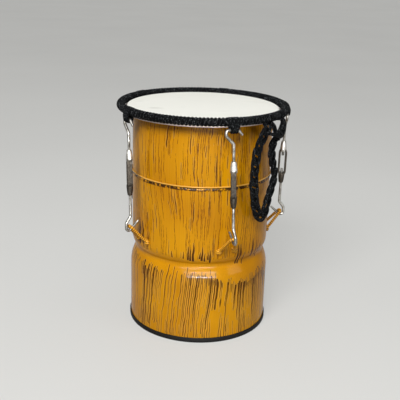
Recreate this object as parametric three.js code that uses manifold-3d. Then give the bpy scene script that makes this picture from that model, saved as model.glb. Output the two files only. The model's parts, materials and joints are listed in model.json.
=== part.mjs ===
// A hand drum made from two ends of a steel gas cylinder. Five turnbuckles pull a cord-wound crown down on
// the hoop of the drumhead, and a braided cord hangs from the crown as a handle.
// Millimetres, +Z up. The origin is the centre of the ring that the drum stands on.
// Azimuth 0 faces -Y, and azimuth grows towards +X.
import * as THREE from "three";
import { mergeVertices } from "three/addons/utils/BufferGeometryUtils.js";
import Module from "manifold-3d";

const wasm = await Module();
wasm.setup();

// Driving dimensions, in millimetres unless a name says otherwise.
const CLEARANCE = 0.3;
const ROUND_STEPS = 32;
const ARC_STEPS = 4;

const SHELL_RADIUS = 120.5;
const SHELL_WALL = 2.2;
const SHELL_END_RADIUS = 30;
const SEAM_HEIGHT = 276;
const SEAM_BEAD_HEIGHT = 6.4;
const SEAM_BEAD_PROUD = 1.5;
const WAIST_HEIGHT = 139.5;
const NECK_INSET = 8.5;
const WAIST_WELD_LEG = 5.5;
const WAIST_WELD_THROAT = 2;
const BASE_FLARE = 2.5;
const BASE_WALL = 2.2;
const BASE_SHOULDER_RADIUS = 60;

const TRIM_HEIGHT = 9.1;
const TRIM_WALL = 1.5;
const TRIM_CHAMFER = 0.8;

const CROWN_HEIGHT = 389;
const CROWN_RISE = 1;
const CROWN_OVERHANG = 4;
const CROWN_ROD_RADIUS = 3;
const CROWN_ROD_STEPS = 64;
const CROWN_ROD_SIDES = 6;
const CORD_THICKNESS = 3.6;
const CORD_WIDTH = 7.8;
const CORD_PITCH = 8.8;
const CORD_COIL_RADIUS = 5.4;
const CURL_STEPS = 8;
const CURL_SIDES = 5;

const FILM_THICKNESS = 0.6;
const FILM_BEND_RADIUS = 2.4;
const HOOP_COLLAR = 9.7;
const HOOP_WIDTH = 6.3;
const HOOP_HEIGHT = 4.2;
const HOOP_CHAMFER = 0.8;

const STATION_AZIMUTHS_DEG = [25.2, 101, 170.5, 240, 309.5];
const CROWN_TWIST_DEG = -3;

const LUG_OUTSET = 4;
const LUG_DROP = 17.5;
const LUG_TOP_WIDTH = 17.5;
const LUG_BOTTOM_WIDTH = 9.5;
const LUG_LEG = 4.2;
const LUG_BAR = 3;
const LUG_CORNER = 3;

const WIRE_RADIUS = 2.4;
const WIRE_SIDES = 6;
const WIRE_BEND_RADIUS = 4.5;
const WIRE_BEND_STEPS = 3;
const UPPER_HOOK_REACH = 12.6;
const UPPER_HOOK_ARM = 9;
const UPPER_HOOK_NECK = 23;
const UPPER_HOOK_BEND = 6.6;
const UPPER_HOOK_TIP_REACH = 14.4;
const UPPER_HOOK_TIP_DROP = 9.2;
const LOWER_HOOK_REACH = 8.4;
const LOWER_HOOK_NECK = 17;
const LOWER_HOOK_KINK = 11;
const LOWER_HOOK_TIP = 17.5;

const BODY_LENGTH = 76.5;
// Where a body sits on the free rod between its two hooks: 0 is lowest, 1 highest.
const BODY_PLACE_RATIO = 0.583;
const BODY_WIDTH = 14.6;
const BODY_DEPTH = 9;
const BODY_BAR = 3.4;
const BODY_NOSE_LENGTH = 18;
const BODY_NOSE_RADIUS = 5.4;
const BODY_NOSE_TIP_RADIUS = 3.9;
const BODY_BORE_SIDES = 8;
const THREAD_IN_BODY = 26;
const BODY_SPINS_DEG = [-24, -9.5, 35, 80, 65.5];

const ANCHOR_BAR_RADIUS = 2.75;
const ANCHOR_BAR_SIDES = 8;
const ANCHOR_APEX_RISE = 56.5;
const ANCHOR_APEX_OUTSET = 2;
const ANCHOR_RISE_DEG = 49.5;
const ANCHOR_TOP_SPREAD = 4.7;
const ANCHOR_ROOT_SPREAD = 14;
const ANCHOR_BEND_RADIUS = 4;
const ANCHOR_WELD_RADIUS = 4.8;

const HANDLE_RADIUS = 7;
const HANDLE_SIDES = 8;
const HANDLE_STEPS = 56;
// The hanging loop's route, end to end: azimuth in degrees, then how far out and up from the crown ring.
const HANDLE_ROUTE = [
  [47, 4.8, -6.4],
  [47, 7.3, -9.7],
  [46.2, 6.3, -18],
  [44.9, 1.5, -31.6],
  [43.4, -1, -42.8],
  [42.5, -2, -53],
  [41.9, -2.5, -63.2],
  [41.2, -2.5, -78.5],
  [41, -2.5, -94.1],
  [41.3, -2.5, -110],
  [42, -2.5, -126.2],
  [43.4, -2.5, -143],
  [45.8, -2.5, -157.8],
  [50, -2.5, -168.6],
  [54, -2.5, -162],
  [55.5, -2.5, -149.3],
  [57.1, -2.5, -139.3],
  [59.5, -2.5, -129.8],
  [62.3, -2.5, -119.5],
  [64.6, -2.5, -109],
  [64.6, -2.5, -98],
  [62.4, -2.5, -84.9],
  [59.8, -2.5, -71.8],
  [58.2, -2, -60.3],
  [57.6, -0.5, -48.2],
  [58.6, 2, -37.9],
  [60.8, 5.5, -27],
  [63, 7.1, -17.2],
  [64.2, 7.3, -9.7],
  [64.2, 4.8, -6.4],
];

// Sizes that follow from the driving ones.
const BEARING_EDGE_HEIGHT = CROWN_HEIGHT - CROWN_RISE;
const HOOP_INNER_RADIUS = SHELL_RADIUS + HOOP_COLLAR;
const HOOP_OUTER_RADIUS = HOOP_INNER_RADIUS + HOOP_WIDTH;
const CROWN_RADIUS = HOOP_OUTER_RADIUS + CROWN_OVERHANG;
const TURNBUCKLE_RADIUS = CROWN_RADIUS + LUG_OUTSET;
const LUG_BOTTOM_HEIGHT = CROWN_HEIGHT - LUG_DROP;
const ANCHOR_APEX_HEIGHT = WAIST_HEIGHT + ANCHOR_APEX_RISE;
const NECK_RADIUS = SHELL_RADIUS - NECK_INSET;
const BASE_RADIUS = SHELL_RADIUS + BASE_FLARE;
const ROLL_RADIUS = CORD_COIL_RADIUS + CORD_THICKNESS / 2;
const HALF_GAP = CLEARANCE / 2;
const LUG_SLOT = 2 * (WIRE_RADIUS + CLEARANCE);
const ARCH_HEIGHT = LUG_BOTTOM_HEIGHT + LUG_BAR + CLEARANCE + WIRE_RADIUS;
const HOOP_TOP =
  CROWN_HEIGHT -
  Math.sqrt(
    (ROLL_RADIUS + CLEARANCE) ** 2 -
      (CROWN_RADIUS - HOOP_OUTER_RADIUS + HOOP_CHAMFER) ** 2,
  );

const MATERIALS = {
  grainedPaint: { color: "#c08318", roughness: 0.28, metalness: 0.1 },
  zincPlate: { color: "#9a9894", roughness: 0.35, metalness: 0.9 },
  blackCord: { color: "#1d1e20", roughness: 0.9, metalness: 0 },
  bareSteel: { color: "#77777a", roughness: 0.5, metalness: 0.9 },
  aluminium: { color: "#a9a7a4", roughness: 0.4, metalness: 0.9 },
  whiteFilm: { color: "#ececE2", roughness: 0.5, metalness: 0 },
  blackRubber: { color: "#1c1814", roughness: 0.8, metalness: 0 },
};

const radians = THREE.MathUtils.degToRad;

function piece(name, geometry, material) {
  const mesh = new THREE.Mesh(
    geometry,
    new THREE.MeshStandardMaterial(MATERIALS[material]),
  );
  mesh.name = name;
  return mesh;
}

function signedVolume(geometry) {
  const place = geometry.getAttribute("position");
  const index = geometry.index.array;
  const corners = [0, 1, 2].map(() => new THREE.Vector3());
  let sum = 0;
  for (let i = 0; i < index.length; i += 3) {
    corners.forEach((corner, k) => corner.fromBufferAttribute(place, index[i + k]));
    sum += corners[0].dot(corners[1].clone().cross(corners[2])) / 6;
  }
  return sum;
}

// The same surface with shared vertices, no flat-out triangles, and its faces pointing outwards.
function closed(geometry) {
  geometry.deleteAttribute("normal");
  geometry.deleteAttribute("uv");
  const merged = mergeVertices(geometry, 1e-3);
  const kept = [];
  const all = merged.index.array;
  for (let i = 0; i < all.length; i += 3) {
    const [a, b, c] = [all[i], all[i + 1], all[i + 2]];
    if (a !== b && b !== c && c !== a) kept.push(a, b, c);
  }
  merged.setIndex(kept);
  if (signedVolume(merged) < 0) {
    for (let i = 0; i < kept.length; i += 3) {
      [kept[i + 1], kept[i + 2]] = [kept[i + 2], kept[i + 1]];
    }
    merged.setIndex(kept);
  }
  merged.computeVertexNormals();
  return merged;
}

// Joining and cutting closed surfaces.
function solid(geometry) {
  const shared = closed(geometry.clone());
  return new wasm.Manifold(
    new wasm.Mesh({
      numProp: 3,
      vertProperties: new Float32Array(shared.getAttribute("position").array),
      triVerts: new Uint32Array(shared.index.array),
    }),
  );
}

function surface(made) {
  const mesh = made.getMesh();
  const geometry = new THREE.BufferGeometry();
  geometry.setAttribute(
    "position",
    new THREE.BufferAttribute(new Float32Array(mesh.vertProperties), 3),
  );
  geometry.setIndex([...mesh.triVerts]);
  return closed(geometry);
}

// Turns an outline of [radius, height] points about the drum's axis.
function revolve(outline) {
  const onAxis = outline[0][0] === 0;
  const points = onAxis ? outline : [...outline, outline[0]];
  const turned = new THREE.LatheGeometry(
    points.map(([radius, height]) => new THREE.Vector2(radius, height)),
    ROUND_STEPS,
  );
  return closed(turned.rotateX(Math.PI / 2));
}

// Points of an arc in the outline's plane, both ends included.
function arc(centre, radius, from, to, steps = ARC_STEPS) {
  return Array.from({ length: steps + 1 }, (_, i) => {
    const angle = from + ((to - from) * i) / steps;
    return [centre[0] + radius * Math.cos(angle), centre[1] + radius * Math.sin(angle)];
  });
}

// A skin over a row of rings that all have as many points, closed by a fan at each end.
function skin(rings) {
  const sides = rings[0].length;
  const index = [];
  for (let i = 0; i + 1 < rings.length; i++) {
    for (let k = 0; k < sides; k++) {
      const a = i * sides + k;
      const b = i * sides + ((k + 1) % sides);
      index.push(a, b, b + sides, a, b + sides, a + sides);
    }
  }
  const last = (rings.length - 1) * sides;
  for (let k = 1; k + 1 < sides; k++) {
    index.push(0, k + 1, k, last, last + k, last + k + 1);
  }
  const geometry = new THREE.BufferGeometry().setFromPoints(rings.flat());
  geometry.setIndex(index);
  return closed(geometry);
}

function tangents(line) {
  return line.map((_, i) => {
    const next = line[Math.min(i + 1, line.length - 1)];
    const last = line[Math.max(i - 1, 0)];
    return next.clone().sub(last).normalize();
  });
}

// Rings of a round bar along a line, carried from point to point without twist.
function barRings(line, radius, sides) {
  const along = tangents(line);
  const up = Math.abs(along[0].z) < 0.9 ? new THREE.Vector3(0, 0, 1) : new THREE.Vector3(1, 0, 0);
  return line.map((centre, i) => {
    up.addScaledVector(along[i], -up.dot(along[i])).normalize();
    const side = along[i].clone().cross(up);
    return Array.from({ length: sides }, (_, k) => {
      const turn = ((k + 0.5) / sides) * 2 * Math.PI;
      return centre
        .clone()
        .addScaledVector(up, radius * Math.cos(turn))
        .addScaledVector(side, radius * Math.sin(turn));
    });
  });
}

function bar(line, radius, sides) {
  return skin(barRings(line, radius, sides));
}

// The line through corner points, with each inner corner rounded by an arc.
function roundedLine(corners, radius, steps) {
  const line = [corners[0].clone()];
  for (let i = 1; i + 1 < corners.length; i++) {
    const back = corners[i - 1].clone().sub(corners[i]).normalize();
    const on = corners[i + 1].clone().sub(corners[i]).normalize();
    const half = back.angleTo(on) / 2;
    const centre = back.clone().add(on).setLength(radius / Math.sin(half)).add(corners[i]);
    const spoke = corners[i].clone().addScaledVector(back, radius / Math.tan(half)).sub(centre);
    const axle = on.clone().cross(back).normalize();
    for (let k = 0; k <= steps; k++) {
      const turn = ((2 * half - Math.PI) * k) / steps;
      line.push(spoke.clone().applyAxisAngle(axle, -turn).add(centre));
    }
  }
  line.push(corners.at(-1).clone());
  return line;
}

// A frame turned about the drum's axis: X points outwards at the azimuth, Y to growing azimuths.
function station(azimuthDeg) {
  const group = new THREE.Group();
  group.rotation.z = radians(azimuthDeg - 90);
  return group;
}

function polar(azimuthDeg, radius, height) {
  const turn = radians(azimuthDeg);
  return new THREE.Vector3(radius * Math.sin(turn), -radius * Math.cos(turn), height);
}

// A frame at a point, with Z along an axis and X as near as can be to the outward direction there.
function axisFrame(origin, axis, azimuthDeg) {
  const outward = polar(azimuthDeg, 1, 0);
  const x = outward.addScaledVector(axis, -outward.dot(axis)).normalize();
  const group = new THREE.Group();
  group.quaternion.setFromRotationMatrix(
    new THREE.Matrix4().makeBasis(x, axis.clone().cross(x), axis),
  );
  group.position.copy(origin);
  return group;
}

// Shells: two drawn halves with a girth bead, a rounded end at the waist, and the flared base below it.
const shellEndDepth = Math.sqrt(SHELL_END_RADIUS ** 2 - (SHELL_END_RADIUS - NECK_INSET) ** 2);
const shellEndTurn = Math.asin(shellEndDepth / SHELL_END_RADIUS);
const shellEndCentre = [SHELL_RADIUS - SHELL_END_RADIUS, WAIST_HEIGHT + HALF_GAP + shellEndDepth];
const shoulderInset = BASE_RADIUS - NECK_RADIUS;
const shoulderDepth = Math.sqrt(
  BASE_SHOULDER_RADIUS ** 2 - (BASE_SHOULDER_RADIUS - shoulderInset) ** 2,
);
const shoulderTurn = Math.asin(shoulderDepth / BASE_SHOULDER_RADIUS);
const shoulderCentre = [
  BASE_RADIUS - BASE_SHOULDER_RADIUS,
  WAIST_HEIGHT - HALF_GAP - shoulderDepth,
];

function shellTop() {
  const lip = SHELL_WALL / 2;
  const lipCentre = [SHELL_RADIUS - lip, BEARING_EDGE_HEIGHT - lip];
  const foot = SEAM_HEIGHT + HALF_GAP;
  return revolve([
    [SHELL_RADIUS, foot],
    ...arc(lipCentre, lip, 0, Math.PI),
    [SHELL_RADIUS - SHELL_WALL, foot],
  ]);
}

function shellMiddle() {
  const head = SEAM_HEIGHT - HALF_GAP;
  return revolve([
    [SHELL_RADIUS, head],
    ...arc(shellEndCentre, SHELL_END_RADIUS, 0, -shellEndTurn),
    ...arc(shellEndCentre, SHELL_END_RADIUS - SHELL_WALL, -shellEndTurn, 0),
    [SHELL_RADIUS - SHELL_WALL, head],
  ]);
}

function baseShell() {
  const foot = TRIM_WALL + CLEARANCE;
  return revolve([
    [BASE_RADIUS, foot],
    ...arc(shoulderCentre, BASE_SHOULDER_RADIUS, 0, shoulderTurn),
    ...arc(shoulderCentre, BASE_SHOULDER_RADIUS - BASE_WALL, shoulderTurn, 0),
    [BASE_RADIUS - BASE_WALL, foot],
  ]);
}

function girthWeld() {
  const seat = SHELL_RADIUS + CLEARANCE;
  const crest = arc([0, 0], 1, -Math.PI / 2, Math.PI / 2);
  return revolve(
    crest.map(([out, up]) => [
      seat + SEAM_BEAD_PROUD * out,
      SEAM_HEIGHT + (SEAM_BEAD_HEIGHT / 2) * up,
    ]),
  );
}

// The weld lies on both flanks of the waist's groove, with a hollow face between its two toes.
function waistWeld() {
  const onShell = (turn) => arc(shellEndCentre, SHELL_END_RADIUS + CLEARANCE, -turn, -turn, 1)[0];
  const onBase = (turn) => arc(shoulderCentre, BASE_SHOULDER_RADIUS + CLEARANCE, turn, turn, 1)[0];
  const shellLeg = WAIST_WELD_LEG / SHELL_END_RADIUS;
  const baseLeg = WAIST_WELD_LEG / BASE_SHOULDER_RADIUS;
  const rootTurn = CLEARANCE / SHELL_END_RADIUS;
  return revolve([
    onBase(shoulderTurn - rootTurn),
    onBase(shoulderTurn - baseLeg),
    [NECK_RADIUS + WAIST_WELD_THROAT, WAIST_HEIGHT],
    onShell(shellEndTurn - shellLeg),
    onShell(shellEndTurn - shellLeg / 2),
    onShell(shellEndTurn - rootTurn),
  ]);
}

function baseEdgeTrim() {
  const outerSeat = BASE_RADIUS + CLEARANCE;
  const innerSeat = BASE_RADIUS - BASE_WALL - CLEARANCE;
  const outer = outerSeat + TRIM_WALL;
  const inner = innerSeat - TRIM_WALL;
  return revolve([
    [inner + TRIM_CHAMFER, 0],
    [outer - TRIM_CHAMFER, 0],
    [outer, TRIM_CHAMFER],
    [outer, TRIM_HEIGHT - TRIM_CHAMFER],
    [outerSeat, TRIM_HEIGHT],
    [outerSeat, TRIM_WALL],
    [innerSeat, TRIM_WALL],
    [innerSeat, TRIM_HEIGHT],
    [inner, TRIM_HEIGHT - TRIM_CHAMFER],
    [inner, TRIM_CHAMFER],
  ]);
}

// Head: a flat film over the bearing edge, whose collar turns down into an aluminium hoop.
function drumhead() {
  const under = BEARING_EDGE_HEIGHT + CLEARANCE;
  const skirt = HOOP_INNER_RADIUS - CLEARANCE;
  const foot = HOOP_TOP - HOOP_HEIGHT + HOOP_CHAMFER;
  const bendCentre = [skirt - FILM_BEND_RADIUS, under + FILM_THICKNESS - FILM_BEND_RADIUS];
  return revolve([
    [0, under],
    ...arc(bendCentre, FILM_BEND_RADIUS - FILM_THICKNESS, Math.PI / 2, 0, 2),
    [skirt - FILM_THICKNESS, foot],
    [skirt, foot],
    ...arc(bendCentre, FILM_BEND_RADIUS, 0, Math.PI / 2, 2),
    [0, under + FILM_THICKNESS],
  ]);
}

function fleshHoop() {
  const foot = HOOP_TOP - HOOP_HEIGHT;
  return revolve([
    [HOOP_INNER_RADIUS, foot],
    [HOOP_OUTER_RADIUS - HOOP_CHAMFER, foot],
    [HOOP_OUTER_RADIUS, foot + HOOP_CHAMFER],
    [HOOP_OUTER_RADIUS, HOOP_TOP - HOOP_CHAMFER],
    [HOOP_OUTER_RADIUS - HOOP_CHAMFER, HOOP_TOP],
    [HOOP_INNER_RADIUS, HOOP_TOP],
  ]);
}

function crownRing() {
  const ring = new THREE.TorusGeometry(
    CROWN_RADIUS,
    CROWN_ROD_RADIUS,
    CROWN_ROD_SIDES,
    CROWN_ROD_STEPS,
  );
  return closed(ring.translate(0, 0, CROWN_HEIGHT));
}

// The cord's middle on the coil round the crown ring: coil turn 0 points outwards, and a quarter turn up.
function coilPoint(azimuthDeg, coilTurn) {
  const across = CORD_COIL_RADIUS * Math.cos(coilTurn);
  const up = CORD_COIL_RADIUS * Math.sin(coilTurn);
  return polar(azimuthDeg, CROWN_RADIUS + across, CROWN_HEIGHT + up);
}

function arcAngleDeg(length) {
  return THREE.MathUtils.radToDeg(length / CROWN_RADIUS);
}

// One stretch of winding between two lugs. Each end runs straight along the ring, square to its lug.
function cordRings(startDeg, endDeg) {
  const straightDeg = arcAngleDeg(CORD_THICKNESS);
  const first = startDeg + straightDeg;
  const sweep = endDeg - straightDeg - first;
  const turns = Math.round(radians(sweep) * (CROWN_RADIUS / CORD_PITCH));
  const steps = turns * CURL_STEPS;
  const places = [[startDeg, 0]];
  for (let k = 0; k <= steps; k++) {
    places.push([first + (sweep * k) / steps, (2 * Math.PI * k) / CURL_STEPS]);
  }
  places.push([endDeg, 0]);
  const line = places.map(([azimuthDeg, turn]) => coilPoint(azimuthDeg, turn));
  const along = tangents(line);
  return line.map((centre, i) => {
    const core = polar(places[i][0], CROWN_RADIUS, CROWN_HEIGHT);
    const out = centre.clone().sub(core).normalize();
    const side = along[i].clone().cross(out).normalize();
    return Array.from({ length: CURL_SIDES }, (_, k) => {
      const turn = (2 * Math.PI * k) / CURL_SIDES;
      return centre
        .clone()
        .addScaledVector(out, (CORD_THICKNESS / 2) * Math.cos(turn))
        .addScaledVector(side, (CORD_WIDTH / 2) * Math.sin(turn));
    });
  });
}

// The least distance between turns of the winding: its points against the edges of the next turn.
function leastGap(rings) {
  let least = Infinity;
  const near = new THREE.Vector3();
  rings.forEach((ring, i) => {
    for (let j = i + CURL_STEPS - 2; j + 1 < Math.min(rings.length, i + CURL_STEPS + 3); j++) {
      rings[j].forEach((start, k) => {
        const edge = new THREE.Line3(start, rings[j + 1][k]);
        ring.forEach((point) => {
          edge.closestPointToPoint(point, true, near);
          least = Math.min(least, near.distanceTo(point));
        });
      });
    }
  });
  return least;
}

// A lug is a cord-covered eye: a lobe round the crown ring, and a tapered tongue with a slot for the hook.
function lug() {
  const inner = TURNBUCKLE_RADIUS - LUG_SLOT / 2 - LUG_LEG;
  const outer = TURNBUCKLE_RADIUS + LUG_SLOT / 2 + LUG_LEG;
  const dip = Math.acos((inner - CROWN_RADIUS) / ROLL_RADIUS);
  const lobe = arc([CROWN_RADIUS, CROWN_HEIGHT], ROLL_RADIUS, 0.2, 2 * Math.PI - dip, 2 * ARC_STEPS);
  const outline = [
    [inner + LUG_CORNER, LUG_BOTTOM_HEIGHT],
    [outer - LUG_CORNER, LUG_BOTTOM_HEIGHT],
    [outer, LUG_BOTTOM_HEIGHT + LUG_CORNER],
    [outer, CROWN_HEIGHT - LUG_CORNER],
    ...lobe,
    [inner, LUG_BOTTOM_HEIGHT + LUG_CORNER],
  ];
  const shape = new THREE.Shape(outline.map(([x, y]) => new THREE.Vector2(x, y)));
  const block = new THREE.ExtrudeGeometry(shape, { depth: 1, bevelEnabled: false });
  block.translate(0, 0, -0.5).rotateX(Math.PI / 2);
  const slotFoot = LUG_BOTTOM_HEIGHT + LUG_BAR;
  const slotTop = CROWN_HEIGHT - ROLL_RADIUS;
  const place = block.getAttribute("position");
  for (let i = 0; i < place.count; i++) {
    const rise = Math.min((place.getZ(i) - LUG_BOTTOM_HEIGHT) / (slotTop - LUG_BOTTOM_HEIGHT), 1);
    const width = THREE.MathUtils.lerp(LUG_BOTTOM_WIDTH, LUG_TOP_WIDTH, rise ** 2);
    place.setY(i, place.getY(i) * width);
  }
  const bow = (LUG_TOP_WIDTH / 2) ** 2 / (2 * CROWN_RADIUS);
  const eyeSides = 2 * ARC_STEPS;
  const eyeRadius = (CROWN_ROD_RADIUS + bow + CLEARANCE) / Math.cos(Math.PI / eyeSides);
  const eye = new THREE.CylinderGeometry(eyeRadius, eyeRadius, 2 * LUG_TOP_WIDTH, eyeSides);
  eye.translate(CROWN_RADIUS, 0, CROWN_HEIGHT);
  const slot = new THREE.BoxGeometry(LUG_SLOT, 2 * LUG_TOP_WIDTH, slotTop - slotFoot);
  slot.translate(TURNBUCKLE_RADIUS, 0, (slotTop + slotFoot) / 2);
  return surface(solid(block).subtract(solid(eye)).subtract(solid(slot)));
}

// The upper hook lies in the Y-Z plane: an arch through the lug's slot, a kink back to the axis and the rod.
function upperHook(rodEnd) {
  const corners = [
    [UPPER_HOOK_TIP_REACH, -UPPER_HOOK_TIP_DROP],
    [UPPER_HOOK_BEND, 0],
    [-UPPER_HOOK_REACH, 0],
    [-UPPER_HOOK_REACH, -UPPER_HOOK_ARM],
    [0, -UPPER_HOOK_NECK],
    [0, rodEnd],
  ];
  const line = roundedLine(
    corners.map(([y, z]) => new THREE.Vector3(0, y, z)),
    WIRE_BEND_RADIUS,
    WIRE_BEND_STEPS,
  );
  return bar(line, WIRE_RADIUS, WIRE_SIDES);
}

// The anchor's own slope, as a unit vector from its apex down to its roots.
const anchorFall = new THREE.Vector3(
  -Math.cos(radians(ANCHOR_RISE_DEG)),
  0,
  -Math.sin(radians(ANCHOR_RISE_DEG)),
);

// The lower hook lies in the X-Z plane round the anchor's apex. Its tip crosses the anchor's plane squarely.
function lowerHook(rodEnd) {
  const apex = new THREE.Vector3(ANCHOR_APEX_OUTSET, 0, 0);
  const seat = ANCHOR_BAR_RADIUS + WIRE_RADIUS + CLEARANCE;
  const through = apex.clone().addScaledVector(anchorFall, seat);
  const inward = new THREE.Vector3(anchorFall.z, 0, -anchorFall.x);
  const toArm = (through.x - LOWER_HOOK_REACH) / inward.x;
  const corners = [
    new THREE.Vector3(0, 0, rodEnd),
    new THREE.Vector3(0, 0, LOWER_HOOK_NECK),
    new THREE.Vector3(LOWER_HOOK_REACH, 0, LOWER_HOOK_NECK - LOWER_HOOK_KINK),
    through.clone().addScaledVector(inward, -toArm),
    through.clone().addScaledVector(inward, LOWER_HOOK_TIP),
  ];
  return bar(
    roundedLine(corners, WIRE_BEND_RADIUS, WIRE_BEND_STEPS),
    WIRE_RADIUS,
    WIRE_SIDES,
  );
}

// An open frame with a tapered nose at each end, bored through for the two threaded rods.
function turnbuckleBody() {
  const shoulder = BODY_LENGTH / 2 - BODY_NOSE_LENGTH;
  const window = BODY_WIDTH / 2 - BODY_BAR;
  const end = shoulder + BODY_BAR;
  const shape = new THREE.Shape();
  shape.moveTo(-BODY_WIDTH / 2, -shoulder);
  shape.quadraticCurveTo(-BODY_WIDTH / 2, -end, 0, -end);
  shape.quadraticCurveTo(BODY_WIDTH / 2, -end, BODY_WIDTH / 2, -shoulder);
  shape.lineTo(BODY_WIDTH / 2, shoulder);
  shape.quadraticCurveTo(BODY_WIDTH / 2, end, 0, end);
  shape.quadraticCurveTo(-BODY_WIDTH / 2, end, -BODY_WIDTH / 2, shoulder);
  const hole = new THREE.Path();
  hole.moveTo(-window, -shoulder + window);
  hole.lineTo(-window, shoulder - window);
  hole.quadraticCurveTo(-window, shoulder, 0, shoulder);
  hole.quadraticCurveTo(window, shoulder, window, shoulder - window);
  hole.lineTo(window, -shoulder + window);
  hole.quadraticCurveTo(window, -shoulder, 0, -shoulder);
  hole.quadraticCurveTo(-window, -shoulder, -window, -shoulder + window);
  shape.holes.push(hole);
  const frame = new THREE.ExtrudeGeometry(shape, {
    depth: BODY_DEPTH,
    bevelEnabled: false,
    curveSegments: 3,
  });
  frame.translate(0, 0, -BODY_DEPTH / 2).rotateX(Math.PI / 2);
  const nose = new THREE.CylinderGeometry(
    BODY_NOSE_TIP_RADIUS,
    BODY_NOSE_RADIUS,
    BODY_NOSE_LENGTH,
    BODY_BORE_SIDES,
  );
  nose.rotateX(Math.PI / 2).translate(0, 0, shoulder + BODY_NOSE_LENGTH / 2);
  const boreRadius = (WIRE_RADIUS + CLEARANCE) / Math.cos(Math.PI / BODY_BORE_SIDES);
  const bore = new THREE.CylinderGeometry(
    boreRadius,
    boreRadius,
    BODY_LENGTH + BODY_NOSE_LENGTH,
    BODY_BORE_SIDES,
  );
  const upper = solid(nose);
  const lower = solid(nose.clone().rotateX(Math.PI));
  return surface(
    solid(frame).add(upper).add(lower).subtract(solid(bore.rotateX(Math.PI / 2))),
  );
}

// A bar bent to a narrow U, leaning out and up from two welds on the shell.
function anchor() {
  const apex = new THREE.Vector3(TURNBUCKLE_RADIUS + ANCHOR_APEX_OUTSET, 0, ANCHOR_APEX_HEIGHT);
  const reach = (apex.x - SHELL_RADIUS) / -anchorFall.x;
  const root = (side) =>
    apex.clone().addScaledVector(anchorFall, reach).setY(side * ANCHOR_ROOT_SPREAD);
  const shoulder = (side) => apex.clone().setY(side * ANCHOR_TOP_SPREAD);
  const corners = [root(-1), shoulder(-1), shoulder(1), root(1)];
  const rod = bar(
    roundedLine(corners, ANCHOR_BEND_RADIUS, WIRE_BEND_STEPS),
    ANCHOR_BAR_RADIUS,
    ANCHOR_BAR_SIDES,
  );
  const weld = (side) =>
    new THREE.SphereGeometry(ANCHOR_WELD_RADIUS, ANCHOR_BAR_SIDES, ARC_STEPS + 1).translate(
      ...root(side).toArray(),
    );
  const seat = SHELL_RADIUS + CLEARANCE;
  const wall = new THREE.CylinderGeometry(seat, seat, BEARING_EDGE_HEIGHT, 2 * ROUND_STEPS);
  wall.rotateX(Math.PI / 2).translate(0, 0, BEARING_EDGE_HEIGHT / 2);
  return surface(
    solid(rod).add(solid(weld(-1))).add(solid(weld(1))).subtract(solid(wall)),
  );
}

function handleCord() {
  const route = new THREE.CatmullRomCurve3(
    HANDLE_ROUTE.map(([azimuthDeg, out, up]) =>
      polar(azimuthDeg, CROWN_RADIUS + out, CROWN_HEIGHT + up),
    ),
  );
  return bar(route.getSpacedPoints(HANDLE_STEPS), HANDLE_RADIUS, HANDLE_SIDES);
}

const drum = new THREE.Group();
drum.add(piece("shell_top", shellTop(), "grainedPaint"));
drum.add(piece("shell_middle", shellMiddle(), "grainedPaint"));
drum.add(piece("girth_weld", girthWeld(), "grainedPaint"));
drum.add(piece("base_shell", baseShell(), "grainedPaint"));
drum.add(piece("waist_weld", waistWeld(), "grainedPaint"));
drum.add(piece("base_edge_trim", baseEdgeTrim(), "blackRubber"));
drum.add(piece("drumhead", drumhead(), "whiteFilm"));
drum.add(piece("flesh_hoop", fleshHoop(), "aluminium"));
drum.add(piece("crown_ring", crownRing(), "bareSteel"));
drum.add(piece("handle_cord", handleCord(), "blackCord"));

const lugHalfDeg = THREE.MathUtils.radToDeg(
  (LUG_TOP_WIDTH / 2 + 2 * CLEARANCE) / (CROWN_RADIUS - ROLL_RADIUS),
);
const gaps = [];

STATION_AZIMUTHS_DEG.forEach((anchorDeg, i) => {
  const number = i + 1;
  const lugDeg = anchorDeg + CROWN_TWIST_DEG;

  const atAnchor = station(anchorDeg);
  atAnchor.add(piece(`anchor_${number}`, anchor(), "grainedPaint"));
  const atLug = station(lugDeg);
  atLug.add(piece(`lug_${number}`, lug(), "blackCord"));
  drum.add(atAnchor, atLug);

  // The turnbuckle's axis runs from the anchor's apex to the arch in the lug's slot.
  const low = polar(anchorDeg, TURNBUCKLE_RADIUS, ANCHOR_APEX_HEIGHT);
  const high = polar(lugDeg, TURNBUCKLE_RADIUS, ARCH_HEIGHT);
  const axis = high.clone().sub(low).normalize();
  const length = high.distanceTo(low);
  const bendRoom = WIRE_BEND_RADIUS + CLEARANCE + BODY_LENGTH / 2;
  const lowest = LOWER_HOOK_NECK + bendRoom;
  const highest = length - UPPER_HOOK_NECK - bendRoom;
  const bodyCentre = THREE.MathUtils.lerp(lowest, highest, BODY_PLACE_RATIO);
  const upperEnd = bodyCentre + BODY_LENGTH / 2 - THREAD_IN_BODY - length;
  const lowerEnd = bodyCentre - BODY_LENGTH / 2 + THREAD_IN_BODY;

  const upper = axisFrame(high, axis, lugDeg);
  upper.add(piece(`upper_hook_${number}`, upperHook(upperEnd), "zincPlate"));
  const lower = axisFrame(low, axis, anchorDeg);
  lower.add(piece(`lower_hook_${number}`, lowerHook(lowerEnd), "zincPlate"));
  const middle = axisFrame(low.clone().addScaledVector(axis, bodyCentre), axis, anchorDeg);
  const body = piece(`turnbuckle_body_${number}`, turnbuckleBody(), "zincPlate");
  body.rotation.z = radians(BODY_SPINS_DEG[i]);
  middle.add(body);
  drum.add(upper, lower, middle);

  const nextDeg = STATION_AZIMUTHS_DEG[(i + 1) % STATION_AZIMUTHS_DEG.length] + CROWN_TWIST_DEG;
  const endDeg = nextDeg > lugDeg ? nextDeg : nextDeg + 360;
  const rings = cordRings(lugDeg + lugHalfDeg, endDeg - lugHalfDeg);
  gaps.push(leastGap(rings));
  drum.add(piece(`crown_cord_${number}`, skin(rings), "blackCord"));
});

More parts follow.
